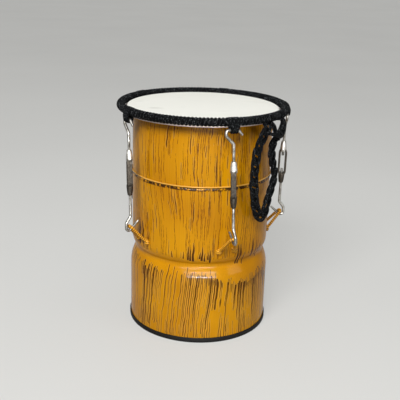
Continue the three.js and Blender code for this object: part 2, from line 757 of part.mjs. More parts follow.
console.log(`least gap between turns of the crown cord: ${Math.min(...gaps).toFixed(2)} mm`);

export default drum;
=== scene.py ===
"""Looks of a hand drum made from a gas cylinder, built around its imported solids.

Sizes are in millimetres, as in the part's source. Blender objects are in metres, in the frame of the solids.
Azimuth 0 faces -Y, and azimuth grows towards +X.
"""

import json
import logging
import math
from dataclasses import dataclass, field
from enum import Enum
from functools import reduce
from itertools import accumulate

import bpy
import numpy as np
from mathutils import Matrix

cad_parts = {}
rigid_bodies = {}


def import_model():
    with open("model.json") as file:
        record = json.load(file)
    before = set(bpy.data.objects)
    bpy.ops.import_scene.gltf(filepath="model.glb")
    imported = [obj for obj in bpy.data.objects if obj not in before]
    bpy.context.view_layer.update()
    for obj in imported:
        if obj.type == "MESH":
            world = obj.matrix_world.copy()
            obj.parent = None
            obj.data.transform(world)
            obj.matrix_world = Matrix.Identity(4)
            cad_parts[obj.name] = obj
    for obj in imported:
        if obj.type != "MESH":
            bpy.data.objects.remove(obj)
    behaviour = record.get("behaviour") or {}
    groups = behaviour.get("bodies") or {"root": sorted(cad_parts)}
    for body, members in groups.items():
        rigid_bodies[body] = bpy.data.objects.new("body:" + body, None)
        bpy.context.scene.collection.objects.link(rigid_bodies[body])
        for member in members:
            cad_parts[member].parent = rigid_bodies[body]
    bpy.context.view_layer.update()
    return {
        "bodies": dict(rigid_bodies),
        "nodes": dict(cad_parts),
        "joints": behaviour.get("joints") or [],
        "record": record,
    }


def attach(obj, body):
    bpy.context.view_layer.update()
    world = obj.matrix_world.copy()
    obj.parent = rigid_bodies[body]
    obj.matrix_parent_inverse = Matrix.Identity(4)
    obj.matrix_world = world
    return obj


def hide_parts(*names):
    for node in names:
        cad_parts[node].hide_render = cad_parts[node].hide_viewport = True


LOG = logging.getLogger("hand_drum")
MM = 0.001
TURN = 2 * math.pi
X_AXIS, Y_AXIS, Z_AXIS = np.eye(3)
SHARP_EDGE_DEG = 42.0
CORD_SPACING = 1.2

# The middle of whatever runs from 0 to 1
MIDDLE = 0.5

Array = np.ndarray
Number = Array | float
Socket = bpy.types.NodeSocket
Value = Socket | float | tuple[float, ...]
Pair = tuple[float, float]
Triple = tuple[float, float, float]
Steps = tuple[float, ...]


# Sizes


@dataclass(frozen=True)
class ShellSizes:
    """The two drawn shell halves, the base, their welds and the trim.

    The bead's rows are outset and rise from the wall at the girth seam. The fillet of the waist is an arc
    between two angles, closed by points that lie in the joint. A ring is a row of points on a straight wall.
    """

    radius: float = 120.5
    wall: float = 2.2
    edge_height: float = 388.0
    seam_height: float = 276.0
    waist_height: float = 139.5
    neck_radius: float = 112.0
    end_radius: float = 30.0
    base_radius: float = 123.0
    shoulder_radius: float = 60.0
    half_gap: float = 0.15
    trim_height: float = 9.1
    trim_web: float = 1.5
    trim_lip: float = 0.75
    trim_gap: float = 0.3
    top_rings: int = 5
    middle_ring: float = 215.0
    base_ring: float = 50.0
    fillet_centre: Pair = (124.2, 139.2)
    fillet_radius: float = 10.2
    fillet_ends: Pair = (143.0, 217.0)
    fillet_back: tuple[Pair, ...] = ((114.4, 134.6), (112.4, 138.9), (112.4, 140.1), (114.4, 143.0))
    bead: tuple[Pair, ...] = (
        (0.3, -3.2), (0.8, -3.0), (1.1, -2.6), (0.9, -2.1), (0.6, -1.6), (0.55, -0.4),
        (0.75, 0.3), (1.4, 0.9), (1.75, 1.6), (1.7, 2.3), (1.2, 2.9), (0.3, 3.2),
    )
    bead_foot: float = 0.5
    bead_swell: float = 0.10
    bead_lift: float = 0.22
    steps_round: int = 192


@dataclass(frozen=True)
class CrownSizes:
    """The cord-wound ring, its lugs, and the hooped head under it.

    A lug's cords wrap the roll between two angles, stand proud of it by the rise, and spread from the foot's
    width to the top's width over the height of the flare. A share is of the room that one cord has.
    """

    radius: float = 140.5
    height: float = 389.0
    roll_radius: float = 7.2
    cord_half: float = 2.1
    pitch: float = 5.9
    cord_share: float = 0.49
    cord_slack: float = 0.10
    steps_per_turn: int = 18
    lug_wire_radius: float = 144.5
    lug_slot: float = 5.4
    lug_leg: float = 4.2
    lug_foot: float = 371.5
    lug_top_width: float = 17.5
    lug_foot_width: float = 9.8
    lug_rise: float = 0.9
    lug_wrap: Pair = (18.0, 238.0)
    lug_sole: float = 1.6
    lug_bend: float = 3.2
    lug_outer_drop: float = 5.5
    lug_outer_foot: float = 7.5
    lug_inner_lift: float = 1.0
    lug_flare: float = 13.0
    lug_flare_power: float = 1.3
    lug_cords: int = 4
    lug_cord_share: float = 0.56
    lug_cord_flatness: float = 0.95
    lug_spacing: float = 1.1
    film_height: float = 388.9
    film: float = 0.6
    film_bend: float = 2.4
    film_rings: Steps = (0.02, 60.0, 110.0, 122.0)
    film_gap: float = 0.3
    skirt_lift: float = 0.8
    hoop_inner: float = 130.2
    hoop_outer: float = 136.5
    hoop_top: float = 383.24
    hoop_height: float = 4.2
    hoop_inner_round: float = 0.7
    hoop_outer_round: float = 1.2


@dataclass(frozen=True)
class TurnbuckleSizes:
    """One hook-and-hook turnbuckle and the anchor that it pulls on.

    The upper bends are sideways and upwards from the lug's slot. The nose's rows are radius and rise, first
    from its foot and then from its tip. A squareness below 1 makes an oval section boxier. An unroll is the
    radius by which a surface is laid flat in its UV map.
    """

    radius: float = 144.5
    arch_height: float = 377.2
    apex_height: float = 196.0
    apex_outset: float = 2.0
    wire: float = 2.4
    bend: float = 4.5
    hook_gap: float = 0.3
    upper_bends: tuple[Pair, ...] = ((14.4, -9.2), (6.6, 0.0), (-12.6, 0.0), (-12.6, -9.0), (0.0, -23.0))
    upper_thread: float = 40.0
    lower_tip: float = 17.5
    lower_arm: float = 8.4
    lower_arm_rise: float = 6.0
    lower_shank: float = 17.0
    lower_thread: float = 42.0
    thread_in_body: float = 26.0
    thread_pitch: float = 1.0583
    thread_lead: float = 0.4
    thread_ridge: float = 0.22
    thread_sink: float = 0.24
    points_per_pitch: int = 4
    tip_length: float = 1.2
    tip_round: float = 0.7
    body_length: float = 76.5
    body_centre: float = 288.2
    body_half_width: float = 7.3
    body_depth: float = 9.0
    bar: float = 3.4
    bar_squareness: Pair = (0.45, 0.35)
    bar_root: float = 2.9
    bar_tuck: float = 3.2
    bar_bow: float = 1.1
    bow_foot: float = 0.2
    bow_rise: float = 4.0
    bar_unroll: float = 4.0
    nose_length: float = 18.0
    nose_foot: tuple[Pair, ...] = ((2.75, -0.8), (4.9, -0.8), (5.5, 0.2), (5.6, 4.0), (5.2, 9.0))
    nose_tip: tuple[Pair, ...] = ((4.6, -4.0), (4.1, -1.0), (3.7, 0.0), (2.75, 0.0))
    nose_unroll: float = 5.0
    anchor_bar: float = 2.75
    anchor_rise_deg: float = 49.5
    anchor_top_spread: float = 4.7
    anchor_root_spread: float = 14.0
    anchor_bend: float = 4.0
    anchor_spacing: float = 0.5
    rib_pitch: float = 3.6
    rib_height: float = 0.55
    rib_root: float = 0.32
    rib_flat: float = 0.2
    weld_shift: Triple = (0.6, 0.0, 0.4)
    weld_radii: Triple = (3.6, 5.6, 4.8)
    toe_shift: Triple = (0.2, -1.6, 3.2)
    toe_radii: Triple = (2.8, 4.2, 3.4)
    wire_facets: int = 12
    anchor_facets: int = 14
    bar_facets: int = 20
    nose_facets: int = 24


SHELL = ShellSizes()
CROWN = CrownSizes()
BUCKLE = TurnbuckleSizes()
ANCHOR_AZIMUTHS = (25.2, 101.0, 170.5, 240.0, 309.5)
CROWN_TWIST = -3.0
BODY_SPINS = (-24.0, -9.5, 35.0, 80.0, 65.5)

# Seeds of the uneven signals, and the seeds that each anchor's welds have to themselves
SWELL_SEED, LIFT_SEED, SLACK_SEED = 8, 5, 40
WELD_SEEDS, TOE_SEED = 20, 7

# Cord points chosen one by one: azimuth, radius and height
HANDLE_ROUTE = (
    (47, 145.3, 382.6), (47, 147.8, 379.3), (46.2, 146.8, 371), (44.9, 142, 357.4), (43.4, 139.5, 346.2),
    (42.5, 138.5, 336), (41.9, 138, 325.8), (41.2, 138, 310.5), (41, 138, 294.9), (41.3, 138, 279),
    (42, 138, 262.8), (43.4, 138, 246), (45.8, 138, 231.2), (50, 138, 220.4), (54, 138, 227),
    (55.5, 138, 239.7), (57.1, 138, 249.7), (59.5, 138, 259.2), (62.3, 138, 269.5), (64.6, 138, 280),
    (64.6, 138, 291), (62.4, 138, 304.1), (59.8, 138, 317.2), (58.2, 138.5, 328.7), (57.6, 140, 340.8),
    (58.6, 142.5, 351.1), (60.8, 146, 362), (63, 147.6, 371.8), (64.2, 147.8, 379.3), (64.2, 145.3, 382.6),
)
HITCH_RING = (
    (48.6, 147.8, 384), (51.2, 149.5, 378), (52.8, 150.0, 371), (54.2, 150.0, 364.5), (57.6, 149.4, 358.5),
    (62.0, 148.2, 356.0), (65.4, 147.6, 359), (66.4, 148.4, 367), (65.8, 148.8, 375), (64.2, 147.6, 382),
)
HITCH_TIE = (
    (43.5, 147.5, 367), (48.0, 150.5, 366), (53.0, 151.5, 361.5), (58.0, 150.5, 357.5), (62.5, 147.0, 354),
)


# Surfaces


@dataclass
class Surface:
    """Polygons over points in millimetres, with a UV in metres at every face corner."""

    points: Array
    faces: list[Array]
    uvs: list[Array]

    def __add__(self, other: "Surface") -> "Surface":
        """Returns both surfaces as one."""
        faces = self.faces + [face + len(self.points) for face in other.faces]
        return Surface(np.concatenate([self.points, other.points]), faces, self.uvs + other.uvs)

    def volume(self) -> float:
        """Works out the signed volume inside: a fan of tetrahedra from the origin to each face.

        Returns:
            The volume, below 0 where the faces point inwards.
        """
        total = 0.0
        for face in self.faces:
            corner = self.points[face]
            fan = np.cross(corner[:, 1:-1], corner[:, 2:])
            total += np.einsum("ij,ikj->", corner[:, 0], fan) / 6
        return float(total)

    def outward(self) -> "Surface":
        """Turns the faces of a closed surface round where they point inwards.

        Returns:
            The surface with its faces pointing out.
        """
        if self.volume() >= 0:
            return self
        return Surface(self.points, [face[:, ::-1] for face in self.faces], [uv[:, ::-1] for uv in self.uvs])

    def moved(self, frame: "Frame") -> "Surface":
        """Returns the surface placed from a local frame."""
        return Surface(frame.place(self.points), self.faces, self.uvs)


@dataclass(frozen=True)
class Frame:
    """A local frame: an origin and three axes as rows."""

    origin: Array
    axes: Array

    def place(self, points: Array) -> Array:
        """Returns local points in the part's frame."""
        return self.origin + np.asarray(points, float) @ self.axes

    def turned(self, degrees: float) -> "Frame":
        """Turns the frame about its own third axis.

        Args:
            degrees: How far it turns.

        Returns:
            The turned frame.
        """
        c, s = math.cos(math.radians(degrees)), math.sin(math.radians(degrees))
        spin = np.array([[c, s, 0], [-s, c, 0], [0, 0, 1]])
        return Frame(self.origin, spin @ self.axes)


def joined(surfaces: list[Surface]) -> Surface:
    """Returns several surfaces as one."""
    return reduce(Surface.__add__, surfaces)


def unit(vectors: Array) -> Array:
    """Returns vectors scaled to unit length."""
    return vectors / np.linalg.norm(vectors, axis=-1, keepdims=True)


def square_to(vectors: Array, axes: Array) -> Array:
    """Returns unit vectors: what is left of vectors without their share along unit axes."""
    return unit(vectors - axes * np.sum(vectors * axes, -1, keepdims=True))


def polar(azimuth: Number, radius: Number, height: Number) -> Array:
    """Places points round the drum's axis: radius times sine and minus cosine of the azimuth, and the height.

    Args:
        azimuth: Azimuths in degrees.
        radius: Distances from the axis.
        height: Heights.

    Returns:
        The points, in the shape that the three broadcast to.
    """
    turn = np.radians(azimuth)
    parts = np.broadcast_arrays(radius * np.sin(turn), -radius * np.cos(turn), height)
    return np.stack(parts, -1).astype(float)


def axis_frame(origin: Array, axis: Array, azimuth: float) -> Frame:
    """Returns the frame at a point with Z along an axis and X as near outwards as it can be."""
    x = square_to(polar(azimuth, 1.0, 0.0), axis)
    return Frame(origin, np.stack([x, np.cross(axis, x), axis]))


def station(azimuth: float) -> Frame:
    """Returns the frame on the drum's axis with X outwards at the azimuth and Z up."""
    return axis_frame(np.zeros(3), Z_AXIS, azimuth)


def round_angles(count: int) -> Array:
    """Returns even angles once round a circle, the closing one left out."""
    return np.linspace(0, TURN, count, endpoint=False)


def girth(count: int, radius: float) -> Array:
    """Returns the length round a circle at each of its points and at the closing one."""
    return np.linspace(0, TURN, count + 1) * radius


def arc(centre: Pair, radius: float, start: float, stop: float, steps: int) -> Array:
    """Returns the points of an arc in a plane, angles in degrees, both ends included."""
    turn = np.radians(np.linspace(start, stop, steps + 1))
    return np.stack([centre[0] + radius * np.cos(turn), centre[1] + radius * np.sin(turn)], -1)


def lengths(line: Array) -> Array:
    """Returns the length along a line at each of its points."""
    return np.concatenate([[0.0], np.cumsum(np.linalg.norm(np.diff(line, axis=0), axis=1))])


def read_off(table: Array, along: Array, places: Array) -> Array:
    """Returns the rows of a table at other places along it, with straight lines between its own rows."""
    return np.stack([np.interp(places, along, column) for column in table.T], -1)


def resampled(line: Array, spacing: float) -> Array:
    """Returns the line with points about one spacing apart."""
    along = lengths(line)
    return read_off(line, along, np.linspace(0, along[-1], max(2, round(along[-1] / spacing) + 1)))


def smooth_line(knots: Array, steps: int) -> Array:
    """Draws a Catmull-Rom line: cubics whose slope at a knot is half the step between the knots beside it.

    Args:
        knots: Points that the line goes through.
        steps: Steps between each two of them.

    Returns:
        The points of the line.
    """
    padded = np.concatenate([[2 * knots[0] - knots[1]], knots, [2 * knots[-1] - knots[-2]]])
    t = np.linspace(0, 1, steps, endpoint=False)[None, :, None]
    a, b, c, d = (padded[k : len(padded) - 3 + k, None, :] for k in range(4))
    curve = 0.5 * (2 * b + (c - a) * t + (2 * a - 5 * b + 4 * c - d) * t**2 + (3 * b - a - 3 * c + d) * t**3)
    return np.concatenate([curve.reshape(-1, 3), knots[-1:]])


def hung_line(knots: tuple[Triple, ...], steps: int) -> Array:
    """Returns an even cord line through points given by azimuth, radius and height."""
    return resampled(smooth_line(polar(*np.array(knots, float).T), steps), CORD_SPACING)


def rounded_line(corners: Array, radius: float, steps: int = 8) -> Array:
    """Rounds each inner corner of a line by an arc that touches both of its sides.

    The arc's points are its centre plus a spoke that begins square to the first side and turns: cosine times
    the spoke, and sine times the radius along that side.

    Args:
        corners: The line's corner points.
        radius: Radius of the arcs.
        steps: Steps in each arc.

    Returns:
        The points of the line.
    """
    before, here, after = corners[:-2], corners[1:-1], corners[2:]
    back, on = unit(before - here), unit(after - here)
    half = np.arccos(np.clip(np.sum(back * on, -1, keepdims=True), -1, 1)) / 2
    centre = here + unit(back + on) * radius / np.sin(half)
    spoke = here + back * radius / np.tan(half) - centre
    turn = (math.pi - 2 * half)[:, None] * np.linspace(0, 1, steps + 1)[None, :, None]
    arcs = centre[:, None] + spoke[:, None] * np.cos(turn) - radius * back[:, None] * np.sin(turn)
    return np.concatenate([corners[:1], arcs.reshape(-1, 3), corners[-1:]])


def skinned(points: Array, around: Array, along: Array, closed: bool = False) -> Surface:
    """Skins a grid of points whose columns close on themselves, with flat ends where the rows don't close.

    Args:
        points: Grid of rows by columns.
        around: U of each column and of the closing one, in millimetres.
        along: V of each row, and of the closing one where the rows close too, in millimetres.
        closed: Whether the last row joins the first.

    Returns:
        The closed surface.
    """
    rows, columns = points.shape[:2]
    spans = rows if closed else rows - 1
    row, column = (grid.ravel() for grid in np.mgrid[:spans, :columns])
    next_row, next_column = (row + 1) % rows, (column + 1) % columns
    corners = ((row, column), (row, next_column), (next_row, next_column), (next_row, column))
    faces = [np.stack([at_row * columns + at_column for at_row, at_column in corners], -1)]
    uvs = [np.stack([around[column[:, None] + [0, 1, 1, 0]], along[row[:, None] + [0, 0, 1, 1]]], -1) * MM]
    if not closed:
        first = np.arange(columns)[None, ::-1]
        faces += [first, first[:, ::-1] + (rows - 1) * columns]
        uvs += [np.zeros((1, columns, 2)), np.zeros((1, columns, 2))]
    return Surface(points.reshape(-1, 3), faces, uvs).outward()


def lathe(profile: Array, steps: int, swell: Number = 0.0, lift: Number = 0.0) -> Surface:
    """Turns a closed profile of radius and height about the drum's axis.

    Args:
        profile: Rows of radius and height that close on themselves.
        steps: Facets round the axis.
        swell: Extra radius for each row and facet.
        lift: Extra height for each row and facet.

    Returns:
        The closed ring.
    """
    azimuth = np.linspace(-180, 180, steps, endpoint=False)
    points = polar(azimuth, profile[:, :1] + swell, profile[:, 1:] + lift)
    around = np.radians(np.linspace(-180, 180, steps + 1)) * float(profile[:, 0].max())
    along = lengths(np.concatenate([profile, profile[:1]]))
    return skinned(points, around, along, closed=True)


def sweep(
    centres: Array,
    normal: Array,
    side: Array,
    thick: Number,
    wide: Number,
    count: int,
    relief: Number = 0.0,
    closed: bool = False,
) -> Surface:
    """Sweeps an oval along a line: cosine times thickness along the normal, sine times width along the side.

    Args:
        centres: Points of the line.
        normal: Unit direction of the section's thickness at each point.
        side: Unit direction of its width at each point.
        thick: Half thickness, one or one for each point.
        wide: Half width, likewise.
        count: Points round the section.
        relief: Extra radius for each point and each place round the section.
        closed: Whether the line closes on itself.

    Returns:
        The closed surface.
    """
    turn = round_angles(count)
    thick = np.broadcast_to(thick, len(centres))[:, None] + relief
    wide = np.broadcast_to(wide, len(centres))[:, None] + relief
    across, over = np.cos(turn) * thick, np.sin(turn) * wide
    points = centres[:, None] + across[..., None] * normal[:, None] + over[..., None] * side[:, None]
    line = np.concatenate([centres, centres[:1]]) if closed else centres
    return skinned(points, girth(count, float(np.mean(wide))), lengths(line), closed)


def tangents(line: Array, closed: bool = False) -> Array:
    """Returns the unit direction of a line at each point."""
    return unit(np.roll(line, -1, 0) - np.roll(line, 1, 0) if closed else np.gradient(line, axis=0))


def tube(line: Array, radius: Number, count: int = 12, relief: Number = 0.0) -> Surface:
    """Sweeps a round section along an open line, without twist.

    The section's first direction is carried from each point to the next, and squared to the line there.

    Args:
        line: Points of the line.
        radius: Radius, one or one for each point.
        count: Points round the section.
        relief: Extra radius for each point and each place round the section.

    Returns:
        The closed surface.
    """
    ahead = tangents(line)
    first = np.eye(3)[np.argmin(np.abs(ahead[0]))]
    normal = np.stack(list(accumulate(ahead, square_to, initial=first))[1:])
    return sweep(line, normal, np.cross(ahead, normal), radius, radius, count, relief)


def ripple(places: Array, seed: int, waves: int, low: float, high: float) -> Array:
    """Adds up sine waves with random periods, phases and sizes to an uneven signal of about unit size.

    Args:
        places: Positions from 0 to 1, where 1 meets 0 again.
        seed: Which signal.
        waves: Number of sine waves in it.
        low: Least number of periods of a wave.
        high: Largest number of periods.

    Returns:
        The signal at each place.
    """
    least_size = 0.4
    chance = np.random.default_rng(seed)
    periods = np.round(chance.uniform(low, high, waves))
    phase = chance.uniform(0, TURN, waves)
    size = chance.uniform(least_size, 1.0, waves)
    return (size * np.sin(TURN * places[..., None] * periods + phase)).sum(-1) / math.sqrt(waves)


def lump(centre: Array, radii: Triple, seed: int) -> Surface:
    """Makes an uneven weld lump: a ball, flat at its poles, that swells by one ripple round and one up it.

    Args:
        centre: Its middle.
        radii: Its radii along the three axes.
        seed: Which lump.

    Returns:
        The closed surface.
    """
    rows, columns, pole_deg = 13, 20, 86
    round_swell, up_swell = 0.09, 0.07
    rise = np.radians(np.linspace(-pole_deg, pole_deg, rows))[:, None]
    turn = round_angles(columns)
    swell = 1 + round_swell * ripple(turn / TURN, seed, waves=5, low=2, high=5)
    swell = swell + up_swell * ripple(rise / TURN, seed + 1, waves=4, low=2, high=6)
    ball = np.broadcast_arrays(np.cos(rise) * np.cos(turn), np.cos(rise) * np.sin(turn), np.sin(rise))
    points = centre + np.stack(ball, -1) * swell[..., None] * np.array(radii)
    return skinned(points, girth(columns, radii[0]), np.linspace(0, math.pi, rows) * radii[2])


# Finishes


def linear(code: str) -> tuple[float, float, float, float]:
    """Returns the linear colour of an sRGB hex code."""
    values = [int(code[k : k + 2], 16) / 255 for k in (1, 3, 5)]
    return (*(v / 12.92 if v <= 0.04045 else ((v + 0.055) / 1.055) ** 2.4 for v in values), 1.0)


def per_metre(size: float) -> float:
    """Returns how many features of a size in millimetres lie along one metre."""
    return 1 / (size * MM)


class Finish(Enum):
    """Every finish in the scene, named for what it is on the real drum, except the upper nose's painted
    highlight.
    """

    ENAMEL = "grained_ochre_enamel"
    BAR_ENAMEL = "ochre_enamel_on_ribbed_bar"
    SEAM_ENAMEL = "ochre_enamel_on_seam"
    ZINC = "zinc_plated_wire"
    CASTING = "zinc_plated_casting"
    NOSE = "bright_zinc_nose"
    CORD = "black_braided_cord"
    FILM = "coated_drumhead_film"
    ALUMINIUM = "satin_aluminium"
    STEEL = "drawn_steel_rod"
    RUBBER = "black_edge_rubber"
    FLOOR = "pale_studio_floor"


@dataclass(frozen=True)
class NodeKind:
    """One kind of node: Blender's type, the inputs to fill in order, the output to read, and one setting."""

    type: str
    inputs: tuple[int | str, ...] = ()
    output: int | str = 0
    setting: str = ""
    choice: str = ""


class Kind(Enum):
    """The kinds of node in use, named for what they give."""

    PLACE = NodeKind("TexCoord", output="Object")
    UNROLLED = NodeKind("TexCoord", output="UV")
    X = NodeKind("SeparateXYZ", (0,), "X")
    Y = NodeKind("SeparateXYZ", (0,), "Y")
    Z = NodeKind("SeparateXYZ", (0,), "Z")
    SCALED = NodeKind("Mapping", ("Vector", "Scale"))
    SHIFTED = NodeKind("Mapping", ("Vector", "Location"))
    LENGTH = NodeKind("VectorMath", (0,), "Value", "operation", "LENGTH")
    SPOT = NodeKind("CombineXYZ", (0, 1))
    LOTS = NodeKind("TexWhiteNoise", ("Vector",), "Color", "noise_dimensions", "2D")
    FIRST_LOT = NodeKind("SeparateColor", (0,), 0)
    SECOND_LOT = NodeKind("SeparateColor", (0,), 1)
    THIRD_LOT = NodeKind("SeparateColor", (0,), 2)
    NOISE = NodeKind("TexNoise", ("Vector", "Scale", "Detail", "Roughness"), "Fac")
    RAMP = NodeKind("MapRange", (0, 1, 2, 3, 4), 0, "interpolation_type", "SMOOTHSTEP")
    MIX = NodeKind("Mix", (0, 6, 7), 2, "data_type", "RGBA")
    BUMP = NodeKind("Bump", ("Height", "Distance", "Strength"))
    PLUS = NodeKind("Math", (0, 1), 0, "operation", "ADD")
    MINUS = NodeKind("Math", (0, 1), 0, "operation", "SUBTRACT")
    TIMES = NodeKind("Math", (0, 1), 0, "operation", "MULTIPLY")
    OVER = NodeKind("Math", (0, 1), 0, "operation", "DIVIDE")
    POWER = NodeKind("Math", (0, 1), 0, "operation", "POWER")
    LEAST = NodeKind("Math", (0, 1), 0, "operation", "MINIMUM")
    MOST = NodeKind("Math", (0, 1), 0, "operation", "MAXIMUM")
    BELOW = NodeKind("Math", (0, 1), 0, "operation", "LESS_THAN")
    ABOVE = NodeKind("Math", (0, 1), 0, "operation", "GREATER_THAN")
    FLOOR = NodeKind("Math", (0,), 0, "operation", "FLOOR")
    FRACTION = NodeKind("Math", (0,), 0, "operation", "FRACT")
    SIZE = NodeKind("Math", (0,), 0, "operation", "ABSOLUTE")
    SINE = NodeKind("Math", (0,), 0, "operation", "SINE")
    COSINE = NodeKind("Math", (0,), 0, "operation", "COSINE")
    ANGLE = NodeKind("Math", (0, 1), 0, "operation", "ARCTAN2")
    CAMERA_RAY = NodeKind("LightPath", output="Is Camera Ray")
    GLOSSY_RAY = NodeKind("LightPath", output="Is Glossy Ray")
    TRANSMISSION_RAY = NodeKind("LightPath", output="Is Transmission Ray")
    GLOW = NodeKind("Emission", (0, 1))
    BLEND = NodeKind("MixShader", (0, 1, 2))


class Recipe:
    """The nodes of one material or of the world: a shader and what feeds it."""

    def __init__(self, owner: bpy.types.Material | bpy.types.World, shader: str = "Principled BSDF") -> None:
        """Takes a new material or world.

        Args:
            owner: The material or world.
            shader: The name of the shader that it comes with.
        """
        owner.use_nodes = True
        self.owner = owner
        self.tree = owner.node_tree
        self.shader = self.tree.nodes[shader]

    def add(self, kind: Kind, *values: Value) -> Socket:
        """Adds one node with its setting and links.

        Args:
            kind: The kind of node.
            *values: Values or sockets for its inputs, in the kind's order. Other inputs keep their defaults.

        Returns:
            The output that the kind reads.
        """
        node = self.tree.nodes.new("ShaderNode" + kind.value.type)
        if kind.value.setting:
            setattr(node, kind.value.setting, kind.value.choice)
        for key, value in zip(kind.value.inputs, values):
            self.feed(node.inputs[key], value)
        return node.outputs[kind.value.output]

    def feed(self, socket: Socket, value: Value) -> None:
        """Links a socket to an input, or sets the input's value.

        Args:
            socket: The input.
            value: The socket or the value.
        """
        if isinstance(value, Socket):
            self.tree.links.new(value, socket)
        else:
            socket.default_value = value

    def chain(self, kind: Kind, *values: Value) -> Socket:
        """Returns the last of a row of nodes, each fed by the one before it and by the next value."""
        return reduce(lambda total, value: self.add(kind, total, value), values)

    def band(self, value: Socket, low: float, high: float, soft: float) -> Socket:
        """Returns 1 between two limits and 0 outside, with soft edges: one ramp up times one ramp down."""
        rise = self.add(Kind.RAMP, value, low - soft, low + soft)
        return self.add(Kind.TIMES, rise, self.add(Kind.RAMP, value, high - soft, high + soft, 1.0, 0.0))

    def shown(self) -> Socket:
        """Returns 1 for the rays that show things: from the camera, off gloss and through clear pieces."""
        rays = (Kind.CAMERA_RAY, Kind.GLOSSY_RAY, Kind.TRANSMISSION_RAY)
        return self.chain(Kind.MOST, *(self.add(ray) for ray in rays))

    def finish(self, **inputs: Value) -> bpy.types.Material | bpy.types.World:
        """Sets the shader's inputs.

        Args:
            **inputs: Values or sockets by the inputs' names, with underscores for spaces.

        Returns:
            The material or world.
        """
        for key, value in inputs.items():
            self.feed(self.shader.inputs[key.replace("_", " ")], value)
        return self.owner


@dataclass(frozen=True)
class Grain:
    """Noise in grains of a size in millimetres, drawn out along the height by a factor."""

    size: float
    detail: float = 2.0
    rough: float = 0.5
    along: float = 1.0

    def noise(self, recipe: Recipe, place: Socket) -> Socket:
        """Works out the noise: where it is drawn out, the height is divided by the factor first.

        Args:
            recipe: The material.
            place: Where it is asked for.

        Returns:
            The noise, from 0 to 1.
        """
        if self.along != 1.0:
            place = recipe.add(Kind.SCALED, place, (1.0, 1.0, 1 / self.along))
        return recipe.add(Kind.NOISE, place, per_metre(self.size), self.detail, self.rough)

    def sway(self, recipe: Recipe, place: Socket, reach: float) -> Socket:
        """Returns shifts about 0: the noise less its middle, times a reach."""
        return recipe.add(Kind.TIMES, recipe.add(Kind.MINUS, self.noise(recipe, place), MIDDLE), reach)


@dataclass(frozen=True)
class Strokes:
    """One layer of brush strokes along the drum, in millimetres.

    The layer is cut into columns, one pitch wide, and each column holds a stroke where its lot is below the
    share. A stroke begins blunt at its start, runs down or up, thins out and ends in a point. In a layer with
    rows the strokes repeat up the drum and are pointed at both ends.
    """

    seed: int
    pitch: float
    reach: float
    half_width: float
    share: float
    start: float = 0.0
    scatter: float = 0.0
    falls: bool = True
    row: float = 0.0
    rows_shifted: float = 7.0
    least_reach: float = 0.3
    least_width: float = 0.5
    least_body: float = 0.22
    aside: float = 0.5
    thinning: float = 0.5
    row_thinning: float = 0.45
    blunt_end: float = 2.0
    row_point: float = 0.3
    nowhere: float = 9.0

    @staticmethod
    def lots(recipe: Recipe, column: Socket, seed: Value) -> tuple[Socket, ...]:
        """Returns three even random numbers for a column."""
        draw = recipe.add(Kind.LOTS, recipe.add(Kind.SPOT, column, seed))
        return tuple(recipe.add(lot, draw) for lot in (Kind.FIRST_LOT, Kind.SECOND_LOT, Kind.THIRD_LOT))

    def gap(self, recipe: Recipe, turn: Socket, height: Socket, cluster: Socket, drift: Socket) -> Socket:
        """Works out the distance to the strokes: that to a stroke's middle line, less its half width there.

        Args:
            recipe: The material.
            turn: Share of the way round the drum.
            height: Height in millimetres.
            cluster: Factor on the layer's share of columns.
            drift: Slow shift of the height where strokes begin, in millimetres.

        Returns:
            The distance in millimetres, below 0 inside a stroke.
        """
        add, chain = recipe.add, recipe.chain
        spot = add(Kind.TIMES, turn, float(round(TURN * SHELL.radius / self.pitch)))
        column = add(Kind.FLOOR, spot)
        first, second, third = self.lots(recipe, column, float(self.seed))
        if self.row:
            shift = add(Kind.TIMES, first, self.rows_shifted)
            climb = add(Kind.PLUS, add(Kind.OVER, height, self.row), shift)
            rung = add(Kind.PLUS, add(Kind.FLOOR, climb), self.seed + MIDDLE)
            first, second, third = self.lots(recipe, column, rung)
            run = add(Kind.TIMES, add(Kind.FRACTION, climb), self.row)
        else:
            scattered = add(Kind.TIMES, first, self.scatter)
            start = chain(Kind.PLUS, scattered, self.start - self.scatter / 2, drift)
            run = add(Kind.MINUS, start, height) if self.falls else add(Kind.MINUS, height, start)
        extra = add(Kind.TIMES, second, self.reach * (1 - self.least_reach))
        reach = add(Kind.PLUS, extra, self.reach * self.least_reach)
        share = add(Kind.MOST, add(Kind.OVER, run, reach), 0.0)
        left = add(Kind.MOST, add(Kind.MINUS, 1.0, share), 0.0)
        if self.row:
            thinned = add(Kind.POWER, left, self.row_thinning)
            begun = add(Kind.RAMP, share, 0.0, self.row_point)
        else:
            thinned = add(Kind.POWER, left, self.thinning)
            begun = add(Kind.RAMP, run, 0.0, self.blunt_end)
        body = add(Kind.TIMES, thinned, begun)
        wider = add(Kind.PLUS, add(Kind.TIMES, second, 1 - self.least_width), self.least_width)
        width = chain(Kind.TIMES, body, wider, self.half_width)
        lean = add(Kind.TIMES, add(Kind.MINUS, first, MIDDLE), self.aside)
        middle = chain(Kind.MINUS, add(Kind.FRACTION, spot), MIDDLE, lean)
        away = add(Kind.TIMES, add(Kind.SIZE, middle), self.pitch)
        drawn = add(Kind.BELOW, third, add(Kind.TIMES, cluster, self.share))
        present = add(Kind.TIMES, drawn, add(Kind.ABOVE, body, self.least_body))
        missing = add(Kind.TIMES, add(Kind.MINUS, 1.0, present), self.nowhere)
        return add(Kind.PLUS, add(Kind.MINUS, away, width), missing)


